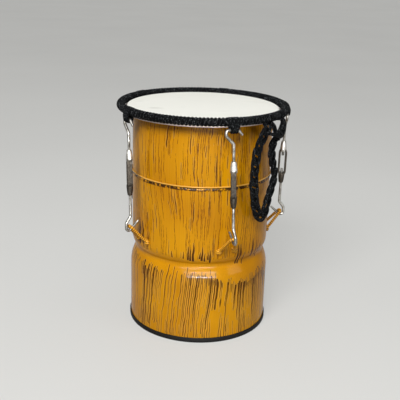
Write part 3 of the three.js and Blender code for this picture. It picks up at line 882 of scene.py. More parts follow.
@dataclass(frozen=True)
class EnamelLook:
    """Ochre enamel on steel, grained by hand with a dry brush and left glossy.

    It gives the eye a warm, slightly cloudy coat with thin brown lines all over, bold dark strokes at the
    waist and sharp lamp reflections. Grains, bands and depths are in millimetres. Steps are where a smooth
    ramp begins and ends, and then what it goes from and to.
    """

    light: str = "#d6950a"
    deep: str = "#bd7c05"
    pale: str = "#e2b058"
    brown: str = "#743c08"
    dark: str = "#44210a"
    smear: str = "#6f4d1a"
    # Painted highlight on the anchors' rib crests, and painted shade between the ribs that the scuffs share
    rib_highlight: str = "#f4b544"
    rib_shade_and_scuff: str = "#56330b"
    # Painted highlight on the seam's upper lip, then the dark paint in its groove
    seam_lip_highlight: str = "#ecba5f"
    seam_groove: str = "#201206"
    rough: float = 0.24
    bar_rough: float = 0.3
    shine: float = 0.03
    seam_shine: float = 0.1
    coat: float = 0.17
    seam_coat: float = 0.12
    coat_rough: float = 0.05
    bar_coat_rough: float = 0.08
    seam_coat_rough: float = 0.1
    cloud: Grain = Grain(90.0)
    brush_mark: Grain = Grain(1.3, along=50.0)
    mark_share: float = 0.5
    cloud_steps: Steps = (0.45, 1.05)
    wander: Grain = Grain(160.0, 0.0)
    wander_turns: float = 0.045
    quiver: Grain = Grain(22.0, 1.0)
    quiver_turns: float = 0.006
    clusters: Grain = Grain(34.0, 1.0, along=4.0)
    cluster_steps: Steps = (0.36, 0.66, 0.5, 1.7)
    uneven: Grain = Grain(70.0, 0.0)
    uneven_reach: float = 44.0
    higher_left: float = -100.0
    upper_steps: Steps = (150.0, 153.0, 9.0, 0.0)
    ragged: Grain = Grain(2.4, 3.0, 0.65, along=6.0)
    ragged_reach: float = 1.1
    broken: Grain = Grain(1.7, 3.0, 0.7, along=4.0)
    broken_reach: float = 2.0
    hairs: tuple[Strokes, ...] = (
        Strokes(1, 3.1, 105.0, 0.64, 0.72, row=110.0),
        Strokes(2, 4.7, 150.0, 0.78, 0.68, row=156.0),
    )
    flecks: Strokes = Strokes(3, 5.9, 56.0, 1.0, 0.38, row=64.0)
    bristles: tuple[Strokes, ...] = (
        Strokes(4, 5.2, 46.0, 2.4, 0.46, 150.0, 10.0, falls=False),
        Strokes(5, 3.6, 165.0, 0.85, 0.76, 124.0, 18.0),
        Strokes(6, 6.1, 120.0, 1.7, 0.34, 124.0, 16.0),
        Strokes(8, 4.1, 50.0, 0.8, 0.6, 8.0, 22.0, falls=False),
    )
    smears: Strokes = Strokes(7, 4.3, 26.0, 2.6, 0.5, 119.0, 7.0)
    # Pale halo just outside the bristle strokes: a painted highlight along their edges
    stroke_highlight_band: Triple = (0.25, 1.0, 0.2)
    stroke_highlight_share: float = 0.32
    hair_steps: Steps = (-0.2, 0.25, 0.88, 0.0)
    smear_steps: Steps = (-0.5, 0.4, 0.7, 0.0)
    bristle_steps: Steps = (-0.25, 0.25, 0.94, 0.0)
    blot: Grain = Grain(4.2, 3.0, 0.65, along=2.0)
    blot_steps: Steps = (0.42, 0.49)
    # Painted shadow just under the seam's bead: the band that it lies in, and how dark it gets
    seam_shadow_band: Triple = (SHELL.seam_height - 5.0, SHELL.seam_height - 2.0, 0.5)
    seam_shadow_share: float = 0.9
    wave: Grain = Grain(8.0, 1.0)
    wave_share: float = 1.8
    peel: Grain = Grain(2.4)
    stroke_relief_steps: Steps = (-0.3, 0.5, 0.0, 0.7)
    depth: float = 0.06
    rib_shade_steps: Steps = (-0.9, -0.35, 0.7, 0.0)
    crest_highlight_steps: Steps = (-0.2, 0.6, 0.0, 0.7)
    scuff: Grain = Grain(4.0, 3.0, 0.6)
    scuff_steps: Steps = (0.58, 0.72, 0.0, 0.3)
    bar_peel: Grain = Grain(2.0, 3.0)
    bar_depth: float = 0.15
    groove_band: Triple = (-3.6, 0.7, 0.5)
    groove_share: float = 0.95
    lip_highlight_band: Triple = (1.5, 3.0, 0.5)
    lip_highlight_share: float = 0.55
    seam_peel: Grain = Grain(3.0, 3.0)
    seam_depth: float = 0.2
    relief: float = 0.4

    def ground(self, recipe: Recipe, place: Socket) -> Socket:
        """Works out the paint's own colour: broad cloudy tone with fine brush marks in it.

        Args:
            recipe: The material.
            place: Where it is asked for.

        Returns:
            The colour.
        """
        fine = recipe.add(Kind.TIMES, self.brush_mark.noise(recipe, place), self.mark_share)
        uneven = recipe.add(Kind.PLUS, self.cloud.noise(recipe, place), fine)
        tone = recipe.add(Kind.RAMP, uneven, *self.cloud_steps)
        return recipe.add(Kind.MIX, tone, linear(self.deep), linear(self.light))

    def blots(self, recipe: Recipe, place: Socket) -> Socket:
        """Returns the blotchy mask along the girth seam: dark paint left in its groove, and the painted shadow
        under its bead.
        """
        return recipe.add(Kind.RAMP, self.blot.noise(recipe, place), *self.blot_steps)

    def grained(self, name: str) -> bpy.types.Material:
        """Makes the enamel of the shells, a smooth gloss coat over hand-drawn grain.

        Args:
            name: The material's name.

        Returns:
            The material.
        """
        recipe = Recipe(bpy.data.materials.new(name))
        add, chain = recipe.add, recipe.chain
        place = add(Kind.PLACE)
        x, y, z = (add(axis, place) for axis in (Kind.X, Kind.Y, Kind.Z))
        height = add(Kind.TIMES, z, 1 / MM)
        angle = add(Kind.ANGLE, x, add(Kind.TIMES, y, -1.0))
        wander = self.wander.sway(recipe, place, self.wander_turns)
        quiver = self.quiver.sway(recipe, place, self.quiver_turns)
        turn = chain(Kind.PLUS, add(Kind.OVER, angle, TURN), wander, quiver)
        cluster = add(Kind.RAMP, self.clusters.noise(recipe, place), *self.cluster_steps)
        uneven = self.uneven.sway(recipe, place, self.uneven_reach)
        drift = add(Kind.PLUS, uneven, add(Kind.TIMES, x, self.higher_left))
        brush = (recipe, turn, height, cluster, drift)
        upper = add(Kind.RAMP, height, *self.upper_steps)
        ragged = self.ragged.sway(recipe, place, self.ragged_reach)
        broken = self.broken.sway(recipe, place, self.broken_reach)
        hair = chain(Kind.LEAST, *(layer.gap(*brush) for layer in self.hairs))
        hair = chain(Kind.PLUS, hair, broken, upper)
        flecks = add(Kind.PLUS, self.flecks.gap(*brush), upper)
        bristle = chain(Kind.LEAST, flecks, *(layer.gap(*brush) for layer in self.bristles))
        bristle = add(Kind.PLUS, bristle, ragged)
        smear = add(Kind.PLUS, self.smears.gap(*brush), ragged)
        # A pale halo just outside the bristle strokes, a painted highlight as if their raised edges caught the
        # light.
        edge = add(Kind.TIMES, recipe.band(bristle, *self.stroke_highlight_band), self.stroke_highlight_share)
        colour = add(Kind.MIX, edge, self.ground(recipe, place), linear(self.pale))
        colour = add(Kind.MIX, add(Kind.RAMP, hair, *self.hair_steps), colour, linear(self.brown))
        colour = add(Kind.MIX, add(Kind.RAMP, smear, *self.smear_steps), colour, linear(self.smear))
        colour = add(Kind.MIX, add(Kind.RAMP, bristle, *self.bristle_steps), colour, linear(self.dark))
        # A painted shadow under the seam's bead, broken into blots: the grain's dark colour in a band just
        # below the seam.
        left = (recipe.band(height, *self.seam_shadow_band), self.blots(recipe, place), self.seam_shadow_share)
        colour = add(Kind.MIX, chain(Kind.TIMES, *left), colour, linear(self.dark))
        waves = add(Kind.TIMES, self.wave.noise(recipe, place), self.wave_share)
        strokes = add(Kind.RAMP, bristle, *self.stroke_relief_steps)
        relief = chain(Kind.PLUS, waves, self.peel.noise(recipe, place), strokes)
        return recipe.finish(
            Base_Color=colour,
            Roughness=self.rough,
            Specular_IOR_Level=self.shine,
            Coat_Weight=self.coat,
            Coat_Roughness=self.coat_rough,
            Normal=add(Kind.BUMP, relief, self.depth * MM, self.relief),
        )

    def ribbed(self, name: str) -> bpy.types.Material:
        """Makes the enamel on the anchors, brushed over ribs, with painted shade between them, painted
        highlights on their crests and dark scuffs.

        Args:
            name: The material's name.

        Returns:
            The material.
        """
        recipe = Recipe(bpy.data.materials.new(name))
        add = recipe.add
        place = add(Kind.PLACE)
        along = add(Kind.Y, add(Kind.UNROLLED))
        ridge = add(Kind.COSINE, add(Kind.TIMES, along, TURN * per_metre(BUCKLE.rib_pitch)))
        # Painted shade in the valleys between the ribs and a painted highlight on their crests; the scuffs
        # take the shade's dark colour too.
        valley = add(Kind.RAMP, ridge, *self.rib_shade_steps)
        crest = add(Kind.RAMP, ridge, *self.crest_highlight_steps)
        scuffs = add(Kind.RAMP, self.scuff.noise(recipe, place), *self.scuff_steps)
        colour = add(Kind.MIX, crest, self.ground(recipe, place), linear(self.rib_highlight))
        colour = add(Kind.MIX, add(Kind.MOST, valley, scuffs), colour, linear(self.rib_shade_and_scuff))
        return recipe.finish(
            Base_Color=colour,
            Roughness=self.bar_rough,
            Specular_IOR_Level=self.shine,
            Coat_Weight=self.coat,
            Coat_Roughness=self.bar_coat_rough,
            Normal=add(Kind.BUMP, self.bar_peel.noise(recipe, place), self.bar_depth * MM, self.relief),
        )

    def seamed(self, name: str) -> bpy.types.Material:
        """Makes the enamel of the girth seam, with dark paint left in its groove and a painted highlight on
        its upper lip.

        Args:
            name: The material's name.

        Returns:
            The material.
        """
        recipe = Recipe(bpy.data.materials.new(name))
        add = recipe.add
        place = add(Kind.PLACE)
        height = add(Kind.MINUS, add(Kind.TIMES, add(Kind.Z, place), 1 / MM), SHELL.seam_height)
        left = (recipe.band(height, *self.groove_band), self.blots(recipe, place), self.groove_share)
        # A paler band on the seam's upper lip, a painted highlight where it faces the lamps.
        lip = add(Kind.TIMES, recipe.band(height, *self.lip_highlight_band), self.lip_highlight_share)
        colour = add(Kind.MIX, lip, self.ground(recipe, place), linear(self.seam_lip_highlight))
        colour = add(Kind.MIX, recipe.chain(Kind.TIMES, *left), colour, linear(self.seam_groove))
        return recipe.finish(
            Base_Color=colour,
            Roughness=self.rough,
            Specular_IOR_Level=self.seam_shine,
            Coat_Weight=self.seam_coat,
            Coat_Roughness=self.seam_coat_rough,
            Normal=add(Kind.BUMP, self.seam_peel.noise(recipe, place), self.seam_depth * MM, self.relief),
        )


@dataclass(frozen=True)
class MetalLook:
    """A metal with mottled tone and a fine grit, sizes in millimetres.

    Zinc plate on wire is bright and a little cloudy, cast zinc is dull and pitted, and the upper nose is
    painted paler as a highlight.
    Satin aluminium is pale, and bare steel rod is grey and dull.
    """

    light: str
    dark: str
    rough: float
    mottle: float
    grit: float
    depth: float
    metal: float = 1.0
    mottle_detail: float = 4.0
    mottle_rough: float = 0.6
    mottle_steps: Steps = (0.36, 0.66)
    grit_detail: float = 3.0
    grit_share: float = 0.18
    relief: float = 0.5

    def made(self, name: str) -> bpy.types.Material:
        """Makes the metal.

        Args:
            name: The material's name.

        Returns:
            The material.
        """
        recipe = Recipe(bpy.data.materials.new(name))
        add = recipe.add
        place = add(Kind.PLACE)
        mottle = Grain(self.mottle, self.mottle_detail, self.mottle_rough).noise(recipe, place)
        grit = Grain(self.grit, self.grit_detail).noise(recipe, place)
        tone = add(Kind.RAMP, mottle, *self.mottle_steps)
        return recipe.finish(
            Base_Color=add(Kind.MIX, tone, linear(self.dark), linear(self.light)),
            Metallic=self.metal,
            Roughness=add(Kind.PLUS, add(Kind.TIMES, grit, self.grit_share), self.rough),
            Normal=add(Kind.BUMP, grit, self.depth * MM, self.relief),
        )


@dataclass(frozen=True)
class CordLook:
    """Black braided polyester cord: two families of yarns cross in a herringbone, drawn with painted shade in
    its valleys and painted glints in small spots.

    The real yarns are under 1 mm wide, so the herringbone is drawn coarser to show from the camera.
    """

    dark: str = "#010101"
    light: str = "#212325"
    # Colour of the painted glints
    painted_glint: str = "#909396"
    rough: float = 0.5
    shine: float = 0.02
    yarn: float = 2.7
    # How much the weave's painted shade counts in the tone
    weave_shade_share: float = 0.36
    fuzz: Grain = Grain(0.8, 3.0, 0.7)
    fuzz_share: float = 0.75
    tone_steps: Steps = (0.35, 0.95)
    glint: Grain = Grain(2.0, 1.0)
    glint_steps: Steps = (0.58, 0.68)
    crest_highlight_steps: Steps = (0.55, 0.9)
    glint_share: float = 0.6
    depth: float = 0.45
    relief: float = 0.9

    def made(self, name: str) -> bpy.types.Material:
        """Makes the cord: the weave is the greater of two sine waves that slant both ways across the UV map.

        Args:
            name: The material's name.

        Returns:
            The material.
        """
        recipe = Recipe(bpy.data.materials.new(name))
        add, chain = recipe.add, recipe.chain
        place, uv = add(Kind.PLACE), add(Kind.UNROLLED)
        u, v = add(Kind.X, uv), add(Kind.Y, uv)
        waves = TURN * per_metre(self.yarn)
        slants = [add(Kind.TIMES, add(way, v, u), waves) for way in (Kind.PLUS, Kind.MINUS)]
        weave = chain(Kind.MOST, *(add(Kind.SINE, slant) for slant in slants))
        fuzz = self.fuzz.noise(recipe, place)
        # The weave darkens the colour in its valleys as painted shade; the fuzz varies the tone at random.
        tone = add(Kind.PLUS, add(Kind.TIMES, weave, self.weave_shade_share), add(Kind.TIMES, fuzz, self.fuzz_share))
        colour = add(Kind.MIX, add(Kind.RAMP, tone, *self.tone_steps), linear(self.dark), linear(self.light))
        # Grey spots on the weave's crests are painted glints in the base colour.
        spots = add(Kind.RAMP, self.glint.noise(recipe, place), *self.glint_steps)
        glints = chain(Kind.TIMES, spots, add(Kind.RAMP, weave, *self.crest_highlight_steps), self.glint_share)
        return recipe.finish(
            Base_Color=add(Kind.MIX, glints, colour, linear(self.painted_glint)),
            Roughness=self.rough,
            Specular_IOR_Level=self.shine,
            Normal=add(Kind.BUMP, add(Kind.PLUS, weave, fuzz), self.depth * MM, self.relief),
        )


@dataclass(frozen=True)
class FilmLook:
    """Polyester film with a sprayed white coat: matt, with a fine tooth and faint rub marks from hands."""

    low: str = "#e4e4db"
    high: str = "#eeede6"
    mark: str = "#8f8c81"
    rough: float = 0.55
    shine: float = 0.35
    cloud: Grain = Grain(160.0)
    rub: Grain = Grain(58.0, 4.0, 0.6)
    rub_shape: Triple = (1.0, 2.2, 1.0)
    rub_steps: Steps = (0.60, 0.78, 0.0, 0.14)
    spot: Triple = (-76.0, -44.0, 388.9)
    spot_shape: Triple = (1.0, 1.6, 1.0)
    spot_steps: Steps = (4.0 * MM, 17.0 * MM, 0.42, 0.0)
    spot_grain: Grain = Grain(9.0, 3.0)
    tooth: Grain = Grain(0.6)
    depth: float = 0.06
    relief: float = 0.5

    def made(self, name: str) -> bpy.types.Material:
        """Makes the film.

        Args:
            name: The material's name.

        Returns:
            The material.
        """
        recipe = Recipe(bpy.data.materials.new(name))
        add = recipe.add
        place = add(Kind.PLACE)
        squeezed = add(Kind.SCALED, place, self.rub_shape)
        rubs = add(Kind.RAMP, self.rub.noise(recipe, squeezed), *self.rub_steps)
        aside = add(Kind.SHIFTED, place, tuple(-v * MM for v in self.spot))
        away = add(Kind.LENGTH, add(Kind.SCALED, aside, self.spot_shape))
        spot = add(Kind.TIMES, add(Kind.RAMP, away, *self.spot_steps), self.spot_grain.noise(recipe, place))
        colour = add(Kind.MIX, self.cloud.noise(recipe, place), linear(self.low), linear(self.high))
        return recipe.finish(
            Base_Color=add(Kind.MIX, add(Kind.MOST, rubs, spot), colour, linear(self.mark)),
            Roughness=self.rough,
            Specular_IOR_Level=self.shine,
            Normal=add(Kind.BUMP, self.tooth.noise(recipe, place), self.depth * MM, self.relief),
        )


@dataclass(frozen=True)
class RubberLook:
    """Extruded black rubber: matt, with floor dust in patches that run round the edge."""

    dark: str = "#0a0705"
    dusty: str = "#2a2018"
    rough: float = 0.62
    shine: float = 0.15
    dust: Grain = Grain(11.0, 4.0, 0.6, along=0.33)
    dust_steps: Steps = (0.52, 0.75, 0.0, 0.45)
    skin: Grain = Grain(1.1, 3.0)
    depth: float = 0.08
    relief: float = 0.5

    def made(self, name: str) -> bpy.types.Material:
        """Makes the rubber.

        Args:
            name: The material's name.

        Returns:
            The material.
        """
        recipe = Recipe(bpy.data.materials.new(name))
        place = recipe.add(Kind.PLACE)
        dust = recipe.add(Kind.RAMP, self.dust.noise(recipe, place), *self.dust_steps)
        return recipe.finish(
            Base_Color=recipe.add(Kind.MIX, dust, linear(self.dark), linear(self.dusty)),
            Roughness=self.rough,
            Specular_IOR_Level=self.shine,
            Normal=recipe.add(Kind.BUMP, self.skin.noise(recipe, place), self.depth * MM, self.relief),
        )


@dataclass(frozen=True)
class FloorLook:
    """Pale matt floor paint, shown partly at an even strength to the camera and to gloss.

    What it throws back is darker than what it shows, so that it lights the drum less from below.
    """

    low: str = "#d6d6d3"
    high: str = "#dededb"
    bounce: str = "#6c6a66"
    cloud: Grain = Grain(800.0)
    rough: float = 0.7
    shine: float = 0.2
    strength: float = 0.95
    evenness: float = 0.6

    def made(self, name: str) -> bpy.types.Material:
        """Makes the floor's paint.

        Args:
            name: The material's name.

        Returns:
            The material.
        """
        recipe = Recipe(bpy.data.materials.new(name))
        add = recipe.add
        tone = add(Kind.MIX, self.cloud.noise(recipe, add(Kind.PLACE)), linear(self.low), linear(self.high))
        shown = recipe.shown()
        colour = add(Kind.MIX, shown, linear(self.bounce), tone)
        recipe.finish(Base_Color=colour, Roughness=self.rough, Specular_IOR_Level=self.shine)
        share = add(Kind.TIMES, shown, self.evenness)
        blend = add(Kind.BLEND, share, recipe.shader.outputs[0], add(Kind.GLOW, tone, self.strength))
        recipe.feed(recipe.tree.nodes["Material Output"].inputs["Surface"], blend)
        return recipe.owner


def finishes() -> dict[Finish, bpy.types.Material]:
    """Makes every material of the scene.

    Returns:
        The materials by finish.
    """
    enamel = EnamelLook()
    makers = {
        Finish.ENAMEL: enamel.grained,
        Finish.BAR_ENAMEL: enamel.ribbed,
        Finish.SEAM_ENAMEL: enamel.seamed,
        Finish.ZINC: MetalLook("#a3a19b", "#6b6862", 0.30, 7.0, 1.1, 0.03).made,
        Finish.CASTING: MetalLook("#443f39", "#2d2924", 0.46, 3.0, 1.4, 0.10).made,
        # The same zinc as the casting, painted far paler: a painted highlight for the upper nose
        Finish.NOSE: MetalLook("#c9c8c4", "#9c9a94", 0.36, 6.0, 1.3, 0.03, 0.85).made,
        Finish.CORD: CordLook().made,
        Finish.FILM: FilmLook().made,
        Finish.ALUMINIUM: MetalLook("#c4b6ae", "#a3958d", 0.40, 16.0, 1.4, 0.03, 0.6).made,
        Finish.STEEL: MetalLook("#77777a", "#55555a", 0.45, 12.0, 1.6, 0.03).made,
        Finish.RUBBER: RubberLook().made,
        Finish.FLOOR: FloorLook().made,
    }
    return {finish: make(finish.value) for finish, make in makers.items()}


# Pieces


def linked(name: str, data: bpy.types.ID) -> bpy.types.Object:
    """Puts an object into the scene.

    Args:
        name: The object's name.
        data: Its mesh, lamp or camera.

    Returns:
        The object.
    """
    thing = bpy.data.objects.new(name, data)
    bpy.context.scene.collection.objects.link(thing)
    return thing


@dataclass
class Workshop:
    """Turns surfaces into objects that ride on the part's bodies."""

    nodes: dict[str, bpy.types.Object]
    materials: dict[Finish, bpy.types.Material] = field(default_factory=finishes)

    def mesh(self, name: str, surface: Surface) -> bpy.types.Mesh:
        """Makes a smooth-shaded mesh, sharp at its hard edges.

        Args:
            name: The mesh's name.
            surface: Its surface in the part's frame.

        Returns:
            The mesh.
        """
        mesh = bpy.data.meshes.new(name)
        corners = np.concatenate([face.ravel() for face in surface.faces])
        sides = np.concatenate([np.full(len(face), face.shape[1]) for face in surface.faces])
        mesh.vertices.add(len(surface.points))
        mesh.vertices.foreach_set("co", (surface.points * MM).ravel())
        mesh.loops.add(len(corners))
        mesh.loops.foreach_set("vertex_index", corners.astype(np.int32))
        mesh.polygons.add(len(sides))
        mesh.polygons.foreach_set("loop_start", (np.cumsum(sides) - sides).astype(np.int32))
        mesh.polygons.foreach_set("use_smooth", np.ones(len(sides), bool))
        layer = mesh.uv_layers.new(name="UVMap")
        layer.data.foreach_set("uv", np.concatenate([uv.reshape(-1, 2) for uv in surface.uvs]).ravel())
        mesh.update(calc_edges=True)
        mesh.validate()
        mesh.set_sharp_from_angle(angle=math.radians(SHARP_EDGE_DEG))
        return mesh

    def piece(self, name: str, surface: Surface, finish: Finish, body: str, *nodes: str) -> bpy.types.Object:
        """Makes one piece.

        Args:
            name: The piece's name.
            surface: Its surface in the part's frame.
            finish: Its finish.
            body: The body that it rides on.
            *nodes: The solids that it stands for.

        Returns:
            The object.
        """
        thing = linked(name, self.mesh(name, surface))
        thing.data.materials.append(self.materials[finish])
        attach(thing, body)
        if nodes:
            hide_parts(*nodes)
        LOG.info("%s rides on %s", name, body)
        return thing

    def paint(self, node: str, finish: Finish) -> None:
        """Gives a solid that stays in view a finish.

        Args:
            node: The solid.
            finish: Its finish.
        """
        materials = self.nodes[node].data.materials
        materials.clear()
        materials.append(self.materials[finish])
        LOG.info("%s stays in view", node)


@dataclass
class Shells:
    """The painted shells, their welds and the rubber trim."""

    workshop: Workshop
    sizes: ShellSizes = SHELL

    def build(self) -> None:
        """Makes the shells from the bearing edge down to the floor, and the seam between the upper two."""
        self.ring("shell_top", self.top(), Finish.ENAMEL)
        self.ring("shell_middle", self.middle(), Finish.ENAMEL)
        self.ring("base_shell", self.base(), Finish.ENAMEL)
        self.ring("waist_weld", self.waist(), Finish.ENAMEL)
        self.ring("base_edge_trim", self.trim(), Finish.RUBBER)
        self.seam()

    def ring(self, node: str, profile: Array, finish: Finish) -> None:
        """Makes one turned piece for a node of the shell."""
        self.workshop.piece(f"{node}_skin", lathe(profile, self.sizes.steps_round), finish, "shell", node)

    def top(self) -> Array:
        """Works out the upper half's profile: a straight wall with a half round as its bearing edge.

        Returns:
            Rows of radius and height.
        """
        s = self.sizes
        lip = s.wall / 2
        foot = s.seam_height + s.half_gap
        edge = arc((s.radius - lip, s.edge_height - lip), lip, 0, 180, steps=8)
        outer = np.linspace((s.radius, foot), edge[0], s.top_rings)
        inner = np.linspace(edge[-1], (s.radius - s.wall, foot), s.top_rings)
        return np.concatenate([outer[:-1], edge, inner[1:]])

    def middle(self) -> Array:
        """Returns the lower half's profile, rounded in to the neck."""
        s = self.sizes
        rim = s.seam_height - s.half_gap
        return self.drawn_in(s.radius, s.end_radius, rim, s.middle_ring, side=-1, steps=18)

    def base(self) -> Array:
        """Returns the base's profile, with its long shoulder."""
        s = self.sizes
        rim = s.trim_web + s.trim_gap
        return self.drawn_in(s.base_radius, s.shoulder_radius, rim, s.base_ring, side=1, steps=22)

    def drawn_in(self, radius: float, bend: float, rim: float, ring: float, side: int, steps: int) -> Array:
        """Works out the profile of a straight wall that an arc draws in to the neck, outside and inside.

        Args:
            radius: Outer radius of the wall.
            bend: Outer radius of the arc.
            rim: Height of the wall's open end.
            ring: Height of one more row of points on the wall.
            side: 1 where the wall stands below the waist, and -1 where it stands above.
            steps: Steps in each arc.

        Returns:
            Rows of radius and height.
        """
        s = self.sizes
        turn = math.acos((bend - (radius - s.neck_radius)) / bend)
        centre = (radius - bend, s.waist_height - side * (s.half_gap + bend * math.sin(turn)))
        outer = arc(centre, bend, 0, side * math.degrees(turn), steps)
        inner = arc(centre, bend - s.wall, side * math.degrees(turn), 0, steps)
        return np.concatenate([[[radius, rim], [radius, ring]], outer, inner, [[radius - s.wall, rim]]])

    def waist(self) -> Array:
        """Returns the hollow fillet that the painted weld leaves at the waist."""
        s = self.sizes
        face = arc(s.fillet_centre, s.fillet_radius, *s.fillet_ends, steps=12)
        return np.concatenate([face, s.fillet_back])

    def trim(self) -> Array:
        """Works out the rubber channel's profile, with rounded lips and corners.

        Returns:
            Rows of radius and height.
        """
        s = self.sizes
        web, lip = s.trim_web, s.trim_lip
        outer, inner = s.base_radius + s.trim_gap, s.base_radius - s.wall - s.trim_gap
        return np.concatenate(
            [
                arc((inner, web), web, 180, 270, steps=4),
                arc((outer, web), web, -90, 0, steps=4),
                arc((outer + lip, s.trim_height - lip), lip, 0, 180, steps=5),
                [[outer, web], [inner, web]],
                arc((inner - lip, s.trim_height - lip), lip, 0, 180, steps=5),
            ]
        )

    def seam(self) -> None:
        """Makes the girth seam: an upper lip, a groove and a thin lower lip, uneven round the drum."""
        s = self.sizes
        profile = np.array(s.bead) + (s.radius, s.seam_height)
        lips = profile[:, :1] > s.radius + s.bead_foot
        places = np.linspace(0, 1, s.steps_round, endpoint=False)
        swell = s.bead_swell * ripple(places, SWELL_SEED, waves=14, low=5, high=60)
        lift = s.bead_lift * ripple(places, LIFT_SEED, waves=14, low=5, high=60)
        surface = lathe(profile, s.steps_round, lips * swell, lips * lift)
        self.workshop.piece("girth_weld_seam", surface, Finish.SEAM_ENAMEL, "shell", "girth_weld")


@dataclass
class Turnbuckles:
    """Anchors, hooks and turnbuckle bodies at the five stations."""

    workshop: Workshop
    sizes: TurnbuckleSizes = BUCKLE

    def build(self) -> None:
        """Makes the five stations."""
        for number, azimuth in enumerate(ANCHOR_AZIMUTHS, 1):
            self.anchor(number, azimuth)
            self.buckle(number, azimuth, azimuth + CROWN_TWIST)

    @property
    def fall(self) -> Array:
        """The unit vector from an anchor's apex down to its roots, in its station."""
        rise = math.radians(self.sizes.anchor_rise_deg)
        return np.array([-math.cos(rise), 0.0, -math.sin(rise)])

    def anchor(self, number: int, azimuth: float) -> None:
        """Makes one anchor bar with two lumps of weld at each root.

        The bar is a bent tube. Its ribs are the upper part of a cosine along it, which leans round the bar.

        Args:
            number: The station's number.
            azimuth: The station's azimuth.
        """
        s = self.sizes
        apex = np.array([s.radius + s.apex_outset, 0.0, s.apex_height])
        root = apex + self.fall * (apex[0] - SHELL.radius) / -self.fall[0]
        top, foot = Y_AXIS * s.anchor_top_spread, Y_AXIS * s.anchor_root_spread
        corners = np.stack([root - foot, apex - top, apex + top, root + foot])
        line = resampled(rounded_line(corners, s.anchor_bend), s.anchor_spacing)
        wave = np.cos(TURN * lengths(line)[:, None] / s.rib_pitch + np.sin(round_angles(s.anchor_facets)))
        ribs = s.rib_height * (np.clip(wave, s.rib_flat, 1) - s.rib_flat)
        surface = tube(line, s.anchor_bar - s.rib_root, s.anchor_facets, ribs)
        for k, side in enumerate((-1, 1)):
            weld = root + side * foot + s.weld_shift
            toe = weld + np.array(s.toe_shift) * (1, side, 1)
            surface += lump(weld, s.weld_radii, WELD_SEEDS * number + k)
            surface += lump(toe, s.toe_radii, WELD_SEEDS * number + TOE_SEED + k)
        surface = surface.moved(station(azimuth))
        self.workshop.piece(f"anchor_{number}_bar", surface, Finish.BAR_ENAMEL, "shell", f"anchor_{number}")

    def buckle(self, number: int, low_azimuth: float, high_azimuth: float) -> None:
        """Makes one turnbuckle between an anchor's apex and a lug's slot.

        Args:
            number: The station's number.
            low_azimuth: Azimuth of the anchor.
            high_azimuth: Azimuth of the lug.
        """
        s = self.sizes
        low = polar(low_azimuth, s.radius, s.apex_height)
        high = polar(high_azimuth, s.radius, s.arch_height)
        axis = unit(high - low)
        centre = (s.body_centre - s.apex_height) / axis[2]
        upper_end = centre + s.body_length / 2 - s.thread_in_body - np.linalg.norm(high - low)
        lower_end = centre - s.body_length / 2 + s.thread_in_body
        upper = self.upper_hook(upper_end).moved(axis_frame(high, axis, high_azimuth))
        lower = self.lower_hook(lower_end).moved(axis_frame(low, axis, low_azimuth))
        self.workshop.piece(f"upper_hook_{number}_wire", upper, Finish.ZINC, "crown", f"upper_hook_{number}")
        self.workshop.piece(f"lower_hook_{number}_wire", lower, Finish.ZINC, "shell", f"lower_hook_{number}")
        frame = axis_frame(low + axis * centre, axis, low_azimuth).turned(BODY_SPINS[number - 1])
        upside_down = Frame(np.zeros(3), np.diag([1.0, -1.0, -1.0]))
        body, nose = f"turnbuckle_{number}", self.body_nose()
        # The lower nose keeps the casting's darker colour, as the shaded side of the pair.
        casting = (self.body_bars() + nose.moved(upside_down)).moved(frame)
        self.workshop.piece(f"{body}_frame", casting, Finish.CASTING, body, f"turnbuckle_body_{number}")
        # The upper nose is painted far paler than the casting, a painted highlight where its taper faces the
        # lamps.
        self.workshop.piece(f"{body}_upper_nose", nose.moved(frame), Finish.NOSE, body)

    def wire(self, corners: Array, thread: float) -> Surface:
        """Makes a bent wire whose last stretch is threaded.

        The thread is the cosine of the way along the wire less the angle round it, sunk a little into the
        wire. The other end's radius falls off with the square of the way to its tip.

        Args:
            corners: The wire's corner points.
            thread: Length of the threaded stretch.

        Returns:
            The closed surface.
        """
        s = self.sizes
        bent = rounded_line(corners, s.bend)
        ahead = lengths(bent)
        split = int(np.searchsorted(ahead, ahead[-1] - thread))
        start = bent[-1] + unit(bent[-2] - bent[-1]) * thread
        plain = np.concatenate([bent[:split], [start]])
        rod = resampled(np.stack([start, bent[-1]]), s.thread_pitch / s.points_per_pitch)
        line = np.concatenate([plain, rod[1:]])
        along = lengths(line)[:, None]
        screw = np.cos(TURN * along / s.thread_pitch - round_angles(s.wire_facets))
        threaded = along > lengths(plain)[-1] + s.thread_lead
        relief = np.where(threaded, s.thread_ridge * screw - s.thread_sink, 0.0)
        to_tip = 1 - np.minimum(along / s.tip_length, 1.0)
        return tube(line, s.wire, s.wire_facets, relief - s.tip_round * to_tip**2)

    def upper_hook(self, rod_end: float) -> Surface:
        """Returns the hook that hangs in a lug, in the axis frame of its arch."""
        s = self.sizes
        return self.wire(np.array([(0.0, y, z) for y, z in (*s.upper_bends, (0.0, rod_end))]), s.upper_thread)

    def lower_hook(self, rod_end: float) -> Surface:
        """Makes the hook round an anchor's apex.

        Args:
            rod_end: Where the threaded rod ends, along the turnbuckle's axis.

        Returns:
            The closed surface, in the axis frame of the apex.
        """
        s = self.sizes
        through = X_AXIS * s.apex_outset + self.fall * (s.anchor_bar + s.wire + s.hook_gap)
        inward = np.cross(Y_AXIS, self.fall)
        arm = through - inward * (through[0] - s.lower_arm) / inward[0]
        shank = [(s.lower_arm, 0.0, s.lower_arm_rise), (0.0, 0.0, s.lower_shank), (0.0, 0.0, rod_end)]
        return self.wire(np.array([through + inward * s.lower_tip, arm, *shank]), s.lower_thread)

